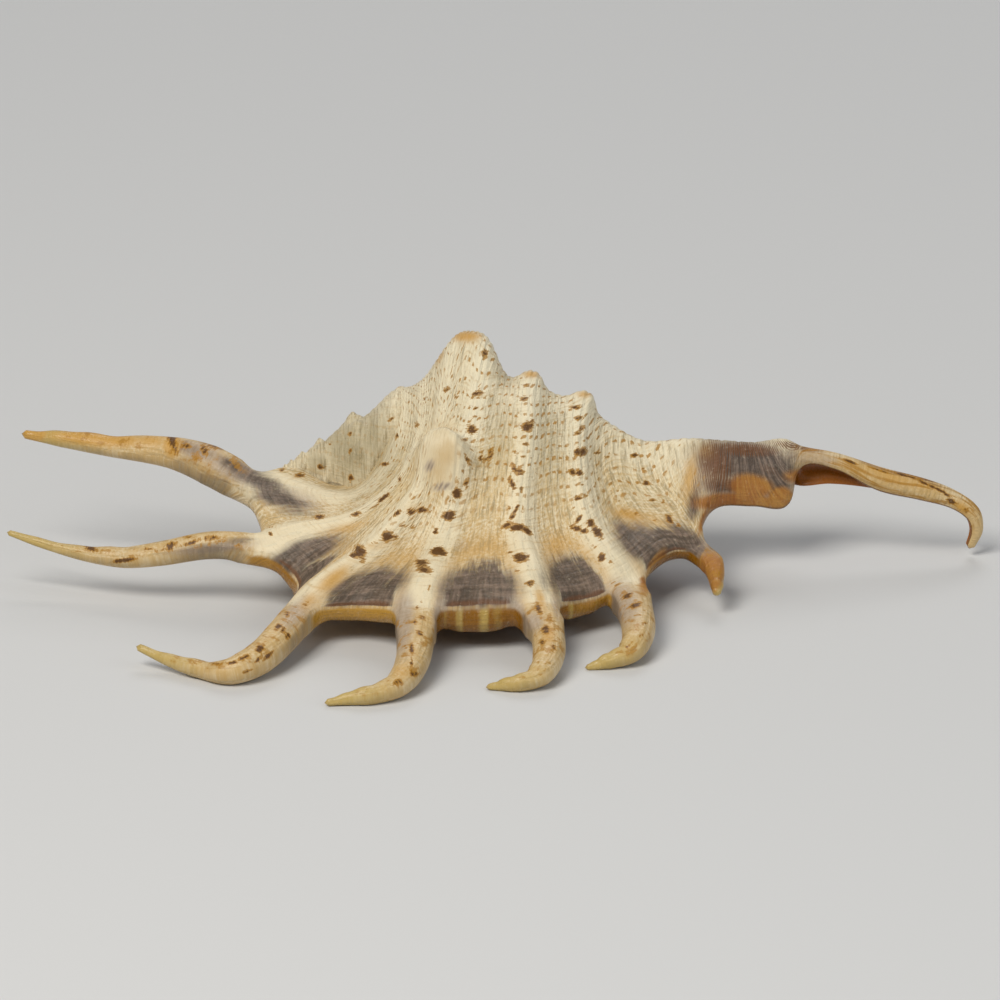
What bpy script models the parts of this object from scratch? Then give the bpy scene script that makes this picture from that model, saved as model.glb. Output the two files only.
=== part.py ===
"""An orange spider conch shell, resting with its opening down, in metres with +Z up.

+X runs along the coil's axis from the point of the spire to the canal, and the lip with its six
fingers opens towards -Y. The shell is one solid: the last whorl is a closed wall carried along the
coil's axis, the fingers grow out of its lip edge, and the spire is joined on behind.
"""

import bpy
import numpy as np

MM = 0.001

# The coil's axis and its cone, in millimetres
AXIS_Y = 7.1
AXIS_Z = 14.0
APEX_X = -32.0
SPIRE_SLOPE = 0.667
SPIRE_END_X = -12.0

# How far the floor cuts into the lowest walls, which leaves the flat places it rests on
FLOOR_CUT = 0.3

# How finely the shapes are cut
COLUMNS_PER_STATION = 4
COLUMNS_PER_CANAL_STATION = 2
WALL_SPANS = (3, 4, 4, 4, 4)
RIM_STEPS = 2
FOLD_STEPS = 2
FINGER_ROWS = 11
SPIRE_RINGS = 20
SPIRE_SIDES = 32

# Rails along the shell, one point for each station from the suture to the canal's neck.
# Odd stations up to 11 lie on a finger, 13 on the notch lobe, and even ones on the web between two.
CREST = (
    (-15.5, 10.9, 24.3), (-14.0, 11.1, 25.1), (-12.6, 11.2, 25.4), (-10.9, 11.5, 26.2), (-9.2, 12.0, 27.4),
    (-7.2, 12.3, 28.3), (-5.0, 12.3, 28.4), (-2.1, 12.1, 27.7), (1.1, 11.6, 26.4), (4.3, 11.3, 25.7),
    (8.0, 10.9, 24.3), (11.8, 10.4, 23.0), (16.0, 9.4, 20.2), (20.8, 8.5, 17.9), (27.2, 8.6, 18.2),
)
UPPER_FRONT = (
    (-16.6, 0.4, 20.8), (-15.5, -3.0, 19.9), (-14.0, -6.0, 20.0), (-13.2, -8.0, 20.3), (-12.2, -9.3, 20.0),
    (-10.6, -10.9, 20.1), (-8.4, -10.4, 20.4), (-5.4, -9.0, 22.0), (-0.4, -6.0, 23.3), (3.7, -4.5, 22.8),
    (7.5, -3.0, 21.5), (10.9, -1.0, 19.2), (15.8, 1.5, 16.1), (22.2, 3.0, 14.0), (27.9, 4.0, 14.4),
)
LOWER_FRONT = (
    (-22.2, 1.4, 13.9), (-21.5, -4.0, 14.2), (-21.5, -8.0, 13.8), (-20.8, -11.0, 13.8), (-20.5, -14.5, 12.4),
    (-17.9, -19.0, 12.1), (-12.9, -18.5, 11.9), (-8.5, -18.0, 12.5), (-2.1, -16.5, 13.5), (2.7, -16.0, 13.3),
    (8.0, -13.5, 12.4), (12.6, -11.5, 12.0), (19.0, -4.5, 11.4), (25.6, -1.5, 11.3), (28.6, 1.2, 11.7),
)
LIP_EDGE = (
    (-30.4, 0.0, 17.6), (-35.8, -2.0, 15.8), (-34.0, -6.5, 11.4), (-34.1, -11.0, 10.2), (-28.5, -18.0, 6.7),
    (-28.7, -28.0, 6.6), (-20.0, -27.5, 6.6), (-11.6, -32.0, 8.0), (-3.6, -29.5, 7.5), (5.7, -29.0, 7.6),
    (11.9, -23.5, 6.0), (17.5, -20.5, 6.9), (24.6, -8.5, 7.8), (28.7, -7.5, 7.6), (29.1, -2.0, 9.6),
)
RIM_FOOT = (
    (-29.6, 1.0, 15.4), (-35.2, -1.0, 12.6), (-33.4, -6.0, 8.4), (-33.6, -10.6, 7.2), (-29.4, -17.4, 3.6),
    (-27.9, -27.6, 3.6), (-19.8, -26.8, 3.0), (-11.4, -31.4, 3.6), (-3.6, -30.2, 2.4), (5.6, -28.8, 3.2),
    (11.8, -23.8, 2.6), (17.0, -20.2, 3.6), (23.6, -7.6, 5.2), (28.2, -6.8, 5.6), (28.8, -1.2, 7.8),
)
INNER_LIP = (
    (-22.6, 2.6, 12.0), (-21.8, -1.0, 10.6), (-20.8, -4.0, 9.6), (-19.6, -6.5, 9.0), (-17.6, -9.0, 8.6),
    (-14.8, -11.0, 8.2), (-11.0, -12.0, 8.0), (-6.8, -12.2, 8.0), (-2.0, -11.6, 8.0), (3.0, -10.6, 8.0),
    (8.2, -8.8, 7.8), (13.6, -6.0, 7.8), (19.4, -1.6, 7.8), (25.2, 1.2, 8.2), (28.4, 2.4, 8.8),
)
CAVITY_FRONT = (
    (-16.8, 2.6, 18.8), (-15.6, 0.4, 17.4), (-14.2, -2.0, 17.0), (-13.2, -4.0, 17.0), (-12.0, -6.0, 17.2),
    (-10.2, -7.6, 17.6), (-8.0, -7.6, 17.8), (-5.0, -6.4, 18.4), (-0.4, -3.8, 19.0), (3.7, -2.2, 18.6),
    (7.6, -0.6, 17.4), (11.4, 1.4, 15.6), (16.6, 3.6, 13.4), (22.4, 4.6, 12.2), (27.9, 5.2, 12.2),
)
CAVITY_ROOF = (
    (-15.6, 10.2, 22.4), (-14.2, 8.6, 22.2), (-12.8, 7.0, 22.2), (-11.0, 6.0, 22.6), (-9.2, 5.4, 23.2),
    (-7.2, 5.2, 23.8), (-4.8, 5.0, 24.0), (-2.0, 5.2, 23.6), (1.1, 5.4, 22.6), (4.3, 5.6, 21.6),
    (8.0, 6.0, 20.0), (11.8, 6.4, 18.0), (16.2, 6.8, 15.4), (21.2, 7.0, 14.0), (27.2, 7.2, 14.2),
)
COLUMELLA = (
    (-18.4, 13.6, 11.4), (-16.4, 5.0, 15.0), (-14.0, 1.6, 15.6), (-11.6, 0.4, 15.8), (-9.2, 0.0, 15.8),
    (-7.0, -0.2, 15.6), (-4.6, -0.2, 15.4), (-1.8, 0.2, 15.2), (1.2, 0.8, 15.0), (4.4, 1.8, 14.6),
    (8.2, 3.2, 13.8), (12.0, 4.8, 12.8), (16.6, 6.4, 12.0), (21.4, 7.6, 11.8), (27.2, 8.2, 12.4),
)
CALLUS_EDGE = (
    (-20.4, 6.4, 8.4), (-18.0, 2.0, 8.0), (-15.2, 0.0, 7.2), (-12.4, -1.0, 6.6), (-9.8, -1.6, 6.2),
    (-7.2, -2.0, 6.0), (-4.6, -2.0, 5.8), (-1.8, -1.8, 5.6), (1.2, -1.2, 5.6), (4.6, -0.2, 5.8),
    (8.4, 1.2, 6.2), (12.4, 3.2, 6.8), (17.0, 5.6, 7.8), (21.8, 7.4, 8.8), (27.4, 8.6, 9.8),
)
BELLY = (
    (-20.8, 7.6, 7.0), (-18.2, 7.4, 3.6), (-15.6, 7.4, 1.8), (-12.8, 7.2, 0.6), (-10.0, 7.0, 0.1),
    (-7.4, 7.0, -0.1), (-4.6, 7.0, -0.2), (-1.8, 7.0, -0.2), (1.2, 7.0, -0.1), (4.6, 7.2, 0.3),
    (8.4, 7.6, 1.4), (12.4, 8.2, 3.4), (17.0, 9.2, 6.0), (21.8, 10.4, 8.2), (27.4, 11.4, 9.8),
)
BACK = (
    (-18.6, 15.2, 11.2), (-16.6, 16.4, 11.2), (-14.6, 17.6, 11.4), (-12.4, 18.8, 11.6), (-10.2, 19.8, 11.8),
    (-7.8, 20.4, 12.0), (-5.0, 20.4, 12.2), (-2.0, 19.8, 12.4), (1.2, 18.8, 12.6), (4.6, 17.8, 12.8),
    (8.2, 16.4, 13.0), (12.2, 14.8, 13.2), (16.6, 13.2, 13.4), (21.4, 12.6, 13.6), (27.4, 12.8, 14.2),
)

# The canal after its neck: middle of the section, and its half height
CANAL_PATH = (
    (31.6, 7.4, 13.9, 4.2), (36.5, 8.0, 13.6, 4.0), (41.0, 8.6, 13.7, 4.2), (43.4, 8.9, 13.9, 2.9),
    (48.0, 9.1, 13.5, 2.3), (54.5, 9.3, 11.8, 1.8), (60.9, 9.4, 10.1, 1.7), (65.2, 9.4, 8.6, 1.4),
    (67.9, 9.2, 6.6, 1.25), (68.5, 9.0, 4.2, 1.0), (67.7, 8.8, 1.9, 0.7),
)
# Sections of the canal for a half height of 1: offsets to the lip's side and up, in ring order
TROUGH = (
    (1.05, -0.90), (0.98, -0.20), (0.62, 0.60), (-0.25, 1.00), (-1.02, 0.15), (-0.78, -0.86),
    (-0.42, -0.62), (-0.30, 0.0), (0.0, 0.36), (0.42, 0.0), (0.62, -0.78), (0.84, -1.04),
)
ROD = (
    (0.86, -0.50), (0.98, 0.10), (0.66, 0.76), (-0.15, 1.00), (-0.98, 0.10), (-0.50, -0.86),
    (-0.08, -0.86), (0.04, -0.66), (0.20, -0.56), (0.36, -0.62), (0.48, -0.74), (0.66, -0.70),
)
# Where the near wall has ended and the groove faces the lip's side
OPEN_SIDE = (
    (0.72, 0.30), (0.70, 0.62), (0.40, 0.92), (-0.20, 1.00), (-0.95, 0.15), (-0.62, -0.80),
    (0.05, -1.00), (-0.12, -0.62), (-0.38, -0.10), (-0.20, 0.34), (0.22, 0.36), (0.52, 0.18),
)
CANAL_SECTIONS = (TROUGH,) * 3 + (OPEN_SIDE,) * 2 + (ROD,) * 6

# Each finger: the station it grows from, then its middle line and radius
FINGERS = {
    "back_finger": (1, (
        (-41.6, 2.0, 16.6, 2.9), (-47.3, 5.0, 17.5, 2.3), (-55.9, 7.5, 17.8, 1.85), (-63.0, 9.5, 18.1, 1.35),
        (-68.2, 11.0, 18.2, 0.75))),
    "second_finger": (3, (
        (-40.8, -10.5, 9.0, 2.0), (-48.7, -9.5, 7.3, 1.75), (-53.7, -8.5, 6.5, 1.65), (-59.2, -7.0, 6.6, 1.3),
        (-65.9, -5.0, 7.5, 0.8), (-70.2, -4.0, 8.5, 0.45))),
    "third_finger": (5, (
        (-31.1, -35.3, 4.0, 2.5), (-34.1, -40.7, 3.0, 2.35), (-38.0, -43.5, 2.3, 2.1), (-42.3, -41.4, 1.9, 1.5),
        (-46.6, -38.8, 2.2, 1.1), (-51.0, -36.6, 3.2, 0.6))),
    "fourth_finger": (7, (
        (-11.9, -36.5, 4.8, 2.75), (-12.4, -43.5, 3.5, 2.4), (-14.3, -49.0, 2.5, 2.1), (-17.9, -51.5, 1.9, 1.6),
        (-21.5, -52.0, 1.4, 1.1), (-24.2, -52.5, 0.9, 0.55))),
    "fifth_finger": (9, (
        (6.6, -33.5, 4.4, 2.45), (6.9, -39.5, 3.2, 2.3), (5.6, -45.0, 2.4, 1.95), (2.9, -46.5, 1.8, 1.45),
        (0.2, -46.2, 1.2, 0.95), (-1.6, -46.0, 0.8, 0.5))),
    "sixth_finger": (11, (
        (19.2, -25.5, 4.3, 2.6), (19.6, -31.0, 3.2, 2.35), (18.4, -36.0, 2.5, 1.95), (16.0, -37.2, 1.8, 1.45),
        (14.0, -37.7, 1.2, 0.95), (12.4, -38.0, 0.75, 0.5))),
    "notch_lobe": (13, (
        (30.4, -10.0, 5.8, 1.5), (30.9, -13.5, 4.7, 1.3), (30.9, -15.9, 3.9, 0.7))),
}
HALF_ROOT_STATIONS = 0.36
ROOT_BLEND_MM = 7.0

# Lumps on the outer wall: station, place up the wall (0 lip edge, 3 crest, 5 belly), height, how far
# they reach along the shell and up the wall, and how much they lean upwards
KNOBS = (
    (6.05, 3.02, 4.7, 4.4, 6.5, 0.0), (5.95, 2.05, 5.6, 3.4, 3.9, 0.9), (9.0, 3.0, 1.5, 2.0, 4.0, 0.0),
    (11.0, 3.0, 1.5, 2.0, 4.0, 0.0), (6.3, 3.75, 2.6, 3.2, 3.5, 0.0), (6.5, 4.35, 1.6, 2.8, 3.0, 0.0),
)
# Ridges that run down into the fingers: station, height, half width in stations at the lip and the
# crest, and the place up the wall where they have faded
RIDGES = (
    (1, 0.9, 0.34, 0.34, 1.3), (3, 0.8, 0.34, 0.34, 1.5), (5, 0.9, 0.34, 0.40, 1.9), (7, 1.1, 0.36, 0.75, 3.4),
    (9, 1.1, 0.36, 0.48, 3.4), (11, 1.1, 0.36, 0.42, 3.4),
)

# Where the last whorl covers the spire: degrees up from the lip's side, then X
COVERED = ((0, -21.5), (60, -17.5), (110, -15.8), (200, -17.8), (270, -20.0), (330, -21.5), (360, -21.5))
COVERED_FADE = 5.0
COVERED_SHRINK = 0.42
COVERED_HUG = 1.5
COVERED_SWELL = 0.03

# The spire's sutures as distances from the apex, and its shoulder lumps
SUTURES = (0.3, 0.8, 1.5, 2.6, 4.7, 7.8, 14.6, 27.0)
SHOULDER = 0.72
WHORL_STEP = 0.17
SPIRE_LUMPS_PER_TURN = 10
SPIRE_LUMP = 0.09


def unit(v):
    """Vectors of length 1 along the last axis."""
    return v / (np.linalg.norm(v, axis=-1, keepdims=True) + 1e-9)


def smooth_chain(points, t, closed=False):
    """A smooth curve through points: on each span a cubic, whose end slopes run from the neighbour
    before to the neighbour after and are as long as the span. Later axes of points go along."""
    p = np.asarray(points, float)
    n = len(p)
    after, before = np.roll(p, -1, 0), np.roll(p, 1, 0)
    if not closed:
        after[-1], before[0] = p[-1], p[0]
    slope = unit(after - before)
    i = np.floor(t).astype(int)
    i = i % n if closed else np.clip(i, 0, n - 2)
    f = (t - np.floor(t) if closed else t - i).reshape((-1,) + (1,) * (p.ndim - 1))
    a, b = p[i], p[(i + 1) % n]
    length = np.linalg.norm(b - a, axis=-1, keepdims=True)
    return (
        a * (2 * f**3 - 3 * f**2 + 1) + b * (3 * f**2 - 2 * f**3)
        + slope[i] * length * (f**3 - 2 * f**2 + f) + slope[(i + 1) % n] * length * (f**3 - f**2)
    )


def span_steps(counts, first=0.0):
    """Parameters that cut each span of a chain into its count of equal steps, without the last end."""
    return np.concatenate([first + k + np.arange(n) / n for k, n in enumerate(counts)])


def stations():
    """All the rails as one array: stations, then the 12 rails in ring order from the lip edge."""
    body = np.array([
        LIP_EDGE, LOWER_FRONT, UPPER_FRONT, CREST, BACK, BELLY,
        CALLUS_EDGE, COLUMELLA, CAVITY_ROOF, CAVITY_FRONT, INNER_LIP, RIM_FOOT,
    ]).transpose(1, 0, 2)
    path = np.array(CANAL_PATH)
    run = unit(np.gradient(path[:, :3], axis=0))
    side = np.array([0.0, -1.0, 0.0]) * np.ones((len(path), 1))
    up = unit(np.cross(side, run))
    canal = []
    for k, outline in enumerate(CANAL_SECTIONS):
        section = np.array(outline) * path[k, 3]
        canal.append(path[k, :3] + section[:, :1] * side[k] + section[:, 1:] * up[k])
    return np.concatenate([body, np.array(canal)])


def ring_parameters():
    """Places round the ring: 0 to 5 on the outer wall, 5 to 6 the fold, 6 to 11 inside, 11 to 12 the rim."""
    outer = span_steps(WALL_SPANS)
    fold = span_steps((FOLD_STEPS,), 5.0)
    inner = span_steps(WALL_SPANS[::-1], 6.0)
    rim = span_steps((RIM_STEPS,), 11.0)
    return np.concatenate([outer, fold, inner, rim])


def column_parameters(n_body, n_canal, per_station, per_canal_station):
    """Places along the shell, in stations. Half of each station's columns lie on a finger's root."""
    k = np.arange(n_body * per_station)
    station, f = k // per_station, (k % per_station) / per_station
    from_finger = np.where(station % 2 == 1, f, 1 - f)
    root = HALF_ROOT_STATIONS
    spread = np.where(from_finger < 0.5, from_finger * 2 * root, root + (from_finger - 0.5) * 2 * (1 - root))
    body = station + np.where(station % 2 == 1, spread, 1 - spread)
    canal = n_body + np.arange(n_canal * per_canal_station + 1) / per_canal_station
    return np.concatenate([body, canal])


def relief(grid, outward, c, t):
    """Moves the outer wall out for its lumps and finger ridges, by sums of bell curves. A lump goes out
    along the normal at its middle and its lean, by its distance from there in millimetres. A ridge goes along
    each point's normal, by the stations between the point and the ridge, and is wider at the crest."""
    moved = np.zeros(grid.shape)
    outer = (t <= 5)[None, :, None]
    for c0, t0, top, along_reach, up_reach, lean in KNOBS:
        i, j = np.argmin(np.abs(c - c0)), np.argmin(np.abs(t - t0))
        away = grid - grid[i, j]
        run = unit(grid[i + 1, j] - grid[i - 1, j])
        along = away @ run
        up = np.linalg.norm(away - along[..., None] * run, axis=-1)
        height = top * np.exp(-np.abs(along / along_reach) ** 3 - (up / up_reach) ** 2.6)
        moved += height[..., None] * unit(outward[i, j] + (0, 0, lean))
    for station, top, lip_reach, crest_reach, end in RIDGES:
        fade = np.clip((end - t) / 1.2, 0, 1) * np.clip(0.35 + t / 0.8, 0, 1)
        reach = lip_reach + (crest_reach - lip_reach) * np.clip((t - 0.5) / 2, 0, 1)
        height = top * fade * np.exp(-((c[:, None] - station) / reach) ** 2)
        moved += height[..., None] * outward
    return moved * outer


def last_whorl():
    """Points of the last whorl and canal as a grid, columns by ring, with their two parameters."""
    rails = stations()
    c = column_parameters(len(CREST) - 1, len(CANAL_PATH), COLUMNS_PER_STATION, COLUMNS_PER_CANAL_STATION)
    t = ring_parameters()
    columns = smooth_chain(rails, c)
    grid = smooth_chain(columns.transpose(1, 0, 2), t, closed=True).transpose(1, 0, 2)
    along = np.gradient(grid, axis=0)
    around = np.roll(grid, -1, 1) - np.roll(grid, 1, 1)
    outward = unit(np.cross(along, around))
    grid = grid + relief(grid, outward, c, t)
    return grid, c, t


def quads(a, b, c, d):
    """Faces from four arrays of vertex numbers."""
    return np.stack([a, b, c, d], -1).reshape(-1, 4)


def finger(points, ring, path):
    """Rows of a finger: its root ring is carried along the path and turns into circles that taper."""
    root = points[ring]
    middle = root.mean(0)
    line = np.vstack([np.append(middle, path[0][3]), np.array(path)])
    s = np.linspace(0, len(line) - 1, FINGER_ROWS + 1)
    mids = smooth_chain(line[:, :3], s)
    radius = np.interp(s, np.arange(len(line)), line[:, 3])
    run = unit(np.gradient(mids, axis=0))
    side = unit(np.cross(run, [0.0, 0.0, 1.0]))
    up = np.cross(side, run)
    offset = root - middle
    across, above = offset @ side[0], offset @ up[0]
    angle = np.unwrap(np.arctan2(above, across))
    turn = np.sign(angle[-1] - angle[0])
    even = angle.mean() + turn * 2 * np.pi * (np.arange(len(ring)) / len(ring) - 0.5 + 0.5 / len(ring))
    gone = np.concatenate([[0], np.cumsum(np.linalg.norm(np.diff(mids, axis=0), axis=1))])
    w = np.clip(gone / ROOT_BLEND_MM, 0, 1)
    w = (w * w * (3 - 2 * w))[:, None]
    x = (1 - w) * across + w * radius[:, None] * np.cos(even)
    z = (1 - w) * above + w * radius[:, None] * np.sin(even)
    rows = mids[:, None] + x[..., None] * side[:, None] + z[..., None] * up[:, None]
    tip = mids[-1] + run[-1] * radius[-1]
    return rows[1:], tip


def shell_mesh():
    """Vertices and faces of the last whorl, canal and fingers as one closed surface."""
    grid, c, t = last_whorl()
    n_columns, n_ring = grid.shape[:2]
    number = np.arange(n_columns * n_ring).reshape(n_columns, n_ring)
    points = [grid.reshape(-1, 3)]
    count = n_columns * n_ring
    faces = quads(number[:-1], number[1:], np.roll(number[1:], -1, 1), np.roll(number[:-1], -1, 1))
    rim_first = n_ring - RIM_STEPS
    keep = np.ones((n_columns - 1, n_ring), bool)
    extra = []
    for station, path in FINGERS.values():
        first = np.argmin(np.abs(c - (station - HALF_ROOT_STATIONS)))
        last = np.argmin(np.abs(c - (station + HALF_ROOT_STATIONS)))
        keep[first:last, rim_first:] = False
        ring = np.concatenate([
            number[first:last, 0],
            number[last, 0:1], number[last, :rim_first:-1],
            number[last:first:-1, rim_first],
            number[first, rim_first:],
        ])
        rows, tip = finger(grid.reshape(-1, 3), ring, path)
        made = count + np.arange(rows.shape[0] * rows.shape[1]).reshape(rows.shape[:2])
        tube = np.vstack([ring[None], made])
        extra.append(quads(tube[:-1], tube[1:], np.roll(tube[1:], -1, 1), np.roll(tube[:-1], -1, 1)))
        points += [rows.reshape(-1, 3), tip[None]]
        tip_number = count + made.size
        end = tube[-1]
        tips = np.full(len(end), tip_number)
        extra.append(quads(end, tips, tips, np.roll(end, -1)))
        count = tip_number + 1
    faces = np.vstack([faces.reshape(n_columns - 1, n_ring, 4)[keep]] + extra)
    outer = number[0, : sum(WALL_SPANS) + 1]
    inner = np.concatenate([number[0, rim_first:rim_first + 1], number[0, rim_first - 1:sum(WALL_SPANS):-1]])
    cap = [quads(outer[:-1], outer[1:], inner[1:len(outer)], inner[:len(outer) - 1])]
    rim_cap = np.concatenate([number[0, rim_first:], number[0, :1]])
    fold_cap = number[0, sum(WALL_SPANS):sum(WALL_SPANS) + FOLD_STEPS + 1]
    end_point = grid[-1].mean(0) + unit(grid[-1].mean(0) - grid[-2].mean(0)) * 0.5
    points.append(end_point[None])
    far = number[-1]
    cap.append(quads(far, np.full(n_ring, count), np.full(n_ring, count), np.roll(far, -1)))
    return np.vstack(points), np.vstack([faces] + cap), [list(rim_cap), list(fold_cap)]


def spire_mesh():
    """A cone of whorls: each grows from the apex by its sutures, with lumps on its shoulder."""
    x = APEX_X + (SPIRE_END_X - APEX_X) * np.linspace(0.02, 1, SPIRE_RINGS)[:, None] ** 1.3
    turn = np.arange(SPIRE_SIDES)[None, :] / SPIRE_SIDES
    gone = x - APEX_X
    whorl = np.interp(gone, SUTURES, np.arange(len(SUTURES))) + turn
    place = whorl - np.floor(whorl)
    rise = WHORL_STEP * (np.minimum(place / SHOULDER, (1 - place) / (1 - SHOULDER)) ** 1.2 - 0.45)
    lumps = SPIRE_LUMP * np.exp(-((place - SHOULDER) / 0.14) ** 2) * np.cos(2 * np.pi * SPIRE_LUMPS_PER_TURN * turn)
    edge = np.interp(360 * turn, *np.array(COVERED).T)
    hugged = np.clip((x - edge) / COVERED_HUG + 1, 0, 1)
    inside = np.clip((x - edge - COVERED_HUG) / COVERED_FADE, 0, 1)
    swell = (rise + lumps) * (1 - hugged) + COVERED_SWELL * hugged
    radius = gone * SPIRE_SLOPE * (1 + swell) * (1 - COVERED_SHRINK * inside)
    angle = 2 * np.pi * turn
    y = AXIS_Y - radius * np.cos(angle)
    z = AXIS_Z + radius * np.sin(angle)
    grid = np.stack([x + 0 * radius, y, z], -1)
    number = np.arange(grid.shape[0] * grid.shape[1]).reshape(grid.shape[:2])
    faces = quads(number[:-1], number[1:], np.roll(number[1:], -1, 1), np.roll(number[:-1], -1, 1))
    return grid.reshape(-1, 3), faces, [list(number[0]), list(number[-1, ::-1])]


def add_object(name, points, faces, polygons, material):
    """An object from points in millimetres, quads, and a few many-sided faces."""
    listed = [tuple(dict.fromkeys(f)) for f in faces.tolist()] + [tuple(map(int, p)) for p in polygons]
    mesh = bpy.data.meshes.new(name)
    mesh.from_pydata((points * MM).tolist(), [], [f for f in listed if len(f) > 2])
    mesh.materials.append(material)
    mesh.shade_smooth()
    obj = bpy.data.objects.new(name, mesh)
    bpy.context.scene.collection.objects.link(obj)
    return obj


def shell_material():
    """Cream shell, dull outside."""
    material = bpy.data.materials.new("cream shell")
    material.use_nodes = True
    surface = material.node_tree.nodes["Principled BSDF"]
    surface.inputs["Base Color"].default_value = (0.62, 0.50, 0.33, 1)
    surface.inputs["Roughness"].default_value = 0.45
    surface.inputs["Metallic"].default_value = 0.0
    return material


def floor_block(width, depth):
    """A block whose top is the floor, in millimetres."""
    x, y = width / 2, depth / 2
    points = np.array([(sx * x, sy * y, z) for z in (-5.0, 0.0) for sx, sy in ((-1, -1), (1, -1), (1, 1), (-1, 1))])
    faces = np.array([(3, 2, 1, 0), (4, 5, 6, 7), (0, 1, 5, 4), (1, 2, 6, 5), (2, 3, 7, 6), (3, 0, 4, 7)])
    return points, faces, []


def boolean(obj, other, operation):
    """Adds a boolean with another object, which then only shows as a wire form."""
    other.hide_render = True
    other.display_type = "WIRE"
    modifier = obj.modifiers.new(other.name, "BOOLEAN")
    modifier.operation = operation
    modifier.solver = "EXACT"
    modifier.object = other


def main():
    for obj in list(bpy.data.objects):
        bpy.data.objects.remove(obj)
    material = shell_material()
    points, faces, polygons = shell_mesh()
    low, high = points.min(0), points.max(0)
    origin = np.array([(low[0] + high[0]) / 2, (low[1] + high[1]) / 2, FLOOR_CUT])
    shell = add_object("shell", points - origin, faces, polygons, material)
    points, faces, polygons = spire_mesh()
    spire = add_object("spire_form", points - origin, faces, polygons, material)
    boolean(shell, spire, "UNION")
    size = high - low + 10
    boolean(shell, add_object("floor_form", *floor_block(size[0], size[1]), material), "DIFFERENCE")



main()
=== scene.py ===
"""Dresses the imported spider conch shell, and lays it on a pale floor under soft light.

The shell is drawn from the same rails as its solid, only finer: cords, growth lines, ribs on the
lip and the marks on it are added. Lengths in this file are millimetres until a mesh is made.
"""

import math

import bpy
import numpy as np
from bpy.props import FloatProperty, FloatVectorProperty, IntProperty, PointerProperty
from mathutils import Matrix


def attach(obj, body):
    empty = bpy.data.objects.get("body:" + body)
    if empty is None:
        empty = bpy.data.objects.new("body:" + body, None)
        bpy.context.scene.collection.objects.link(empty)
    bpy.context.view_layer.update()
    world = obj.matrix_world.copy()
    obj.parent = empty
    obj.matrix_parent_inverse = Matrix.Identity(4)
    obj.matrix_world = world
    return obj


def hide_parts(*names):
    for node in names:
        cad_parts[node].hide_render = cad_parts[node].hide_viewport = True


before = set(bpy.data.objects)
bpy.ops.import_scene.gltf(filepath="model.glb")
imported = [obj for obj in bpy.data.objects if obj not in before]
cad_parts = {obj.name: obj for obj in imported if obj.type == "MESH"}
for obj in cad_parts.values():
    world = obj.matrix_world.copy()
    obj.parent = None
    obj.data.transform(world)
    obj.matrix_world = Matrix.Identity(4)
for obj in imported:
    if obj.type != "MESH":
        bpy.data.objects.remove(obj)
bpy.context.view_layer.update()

bl_info = {
    "name": "Spider conch shell",
    "version": (1, 0, 0),
    "blender": (4, 5, 0),
    "location": "View3D > Sidebar > Shell",
    "description": "Builds the dressed spider conch shell, its floor, lights and camera",
    "category": "Object",
}

MM = 0.001
# Middle of the box round the shell, and the floor's level, in the rails' millimetres
ORIGIN = np.array((-0.548, -15.164, 0.3))

# How the shell is seen in the picture: millimetres per pixel, tilt down, and the middle's level
SEEN_MM_PER_PX = 0.1433
SEEN_TILT = math.radians(20)
SEEN_LEVEL = 11.3
SEEN_CENTRE_PX = 500
SEEN_WIDTH_PX = 1000
TOWARD_EYE = np.array((0.0, -math.cos(SEEN_TILT), math.sin(SEEN_TILT)))

# The coil's axis, and the spire's cone round it
AXIS_Y = 7.1
AXIS_Z = 14.0
APEX_X = -32.0
SPIRE_SLOPE = 0.667
SPIRE_END_X = -12.0

# Places round the ring of rails: 0 and 12 at the lip's edge, 3 on the crest
BELLY_AT = 5
CALLUS_AT = 6
RIM_FOOT_AT = 11
RING_END = 12

# Rails along the shell, one point for each station from the suture to the canal's neck.
# Odd stations up to 11 lie on a finger, 13 on the notch lobe, and even ones on the web between two.
CREST = (
    (-15.5, 10.9, 24.3), (-14, 11.1, 25.1), (-12.6, 11.2, 25.4), (-10.9, 11.5, 26.2), (-9.2, 12, 27.4),
    (-7.2, 12.3, 28.3), (-5, 12.3, 28.4), (-2.1, 12.1, 27.7), (1.1, 11.6, 26.4), (4.3, 11.3, 25.7),
    (8, 10.9, 24.3), (11.8, 10.4, 23), (16, 9.4, 20.2), (20.8, 8.5, 17.9), (27.2, 8.6, 18.2),
)
UPPER_FRONT = (
    (-16.6, 0.4, 20.8), (-15.5, -3, 19.9), (-14, -6, 20), (-13.2, -8, 20.3), (-12.2, -9.3, 20),
    (-10.6, -10.9, 20.1), (-8.4, -10.4, 20.4), (-5.4, -9, 22), (-0.4, -6, 23.3), (3.7, -4.5, 22.8),
    (7.5, -3, 21.5), (10.9, -1, 19.2), (15.8, 1.5, 16.1), (22.2, 3, 14), (27.9, 4, 14.4),
)
LOWER_FRONT = (
    (-22.2, 1.4, 13.9), (-21.5, -4, 14.2), (-21.5, -8, 13.8), (-20.8, -11, 13.8), (-20.5, -14.5, 12.4),
    (-17.9, -19, 12.1), (-12.9, -18.5, 11.9), (-8.5, -18, 12.5), (-2.1, -16.5, 13.5), (2.7, -16, 13.3),
    (8, -13.5, 12.4), (12.6, -11.5, 12), (19, -4.5, 11.4), (25.6, -1.5, 11.3), (28.6, 1.2, 11.7),
)
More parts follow.
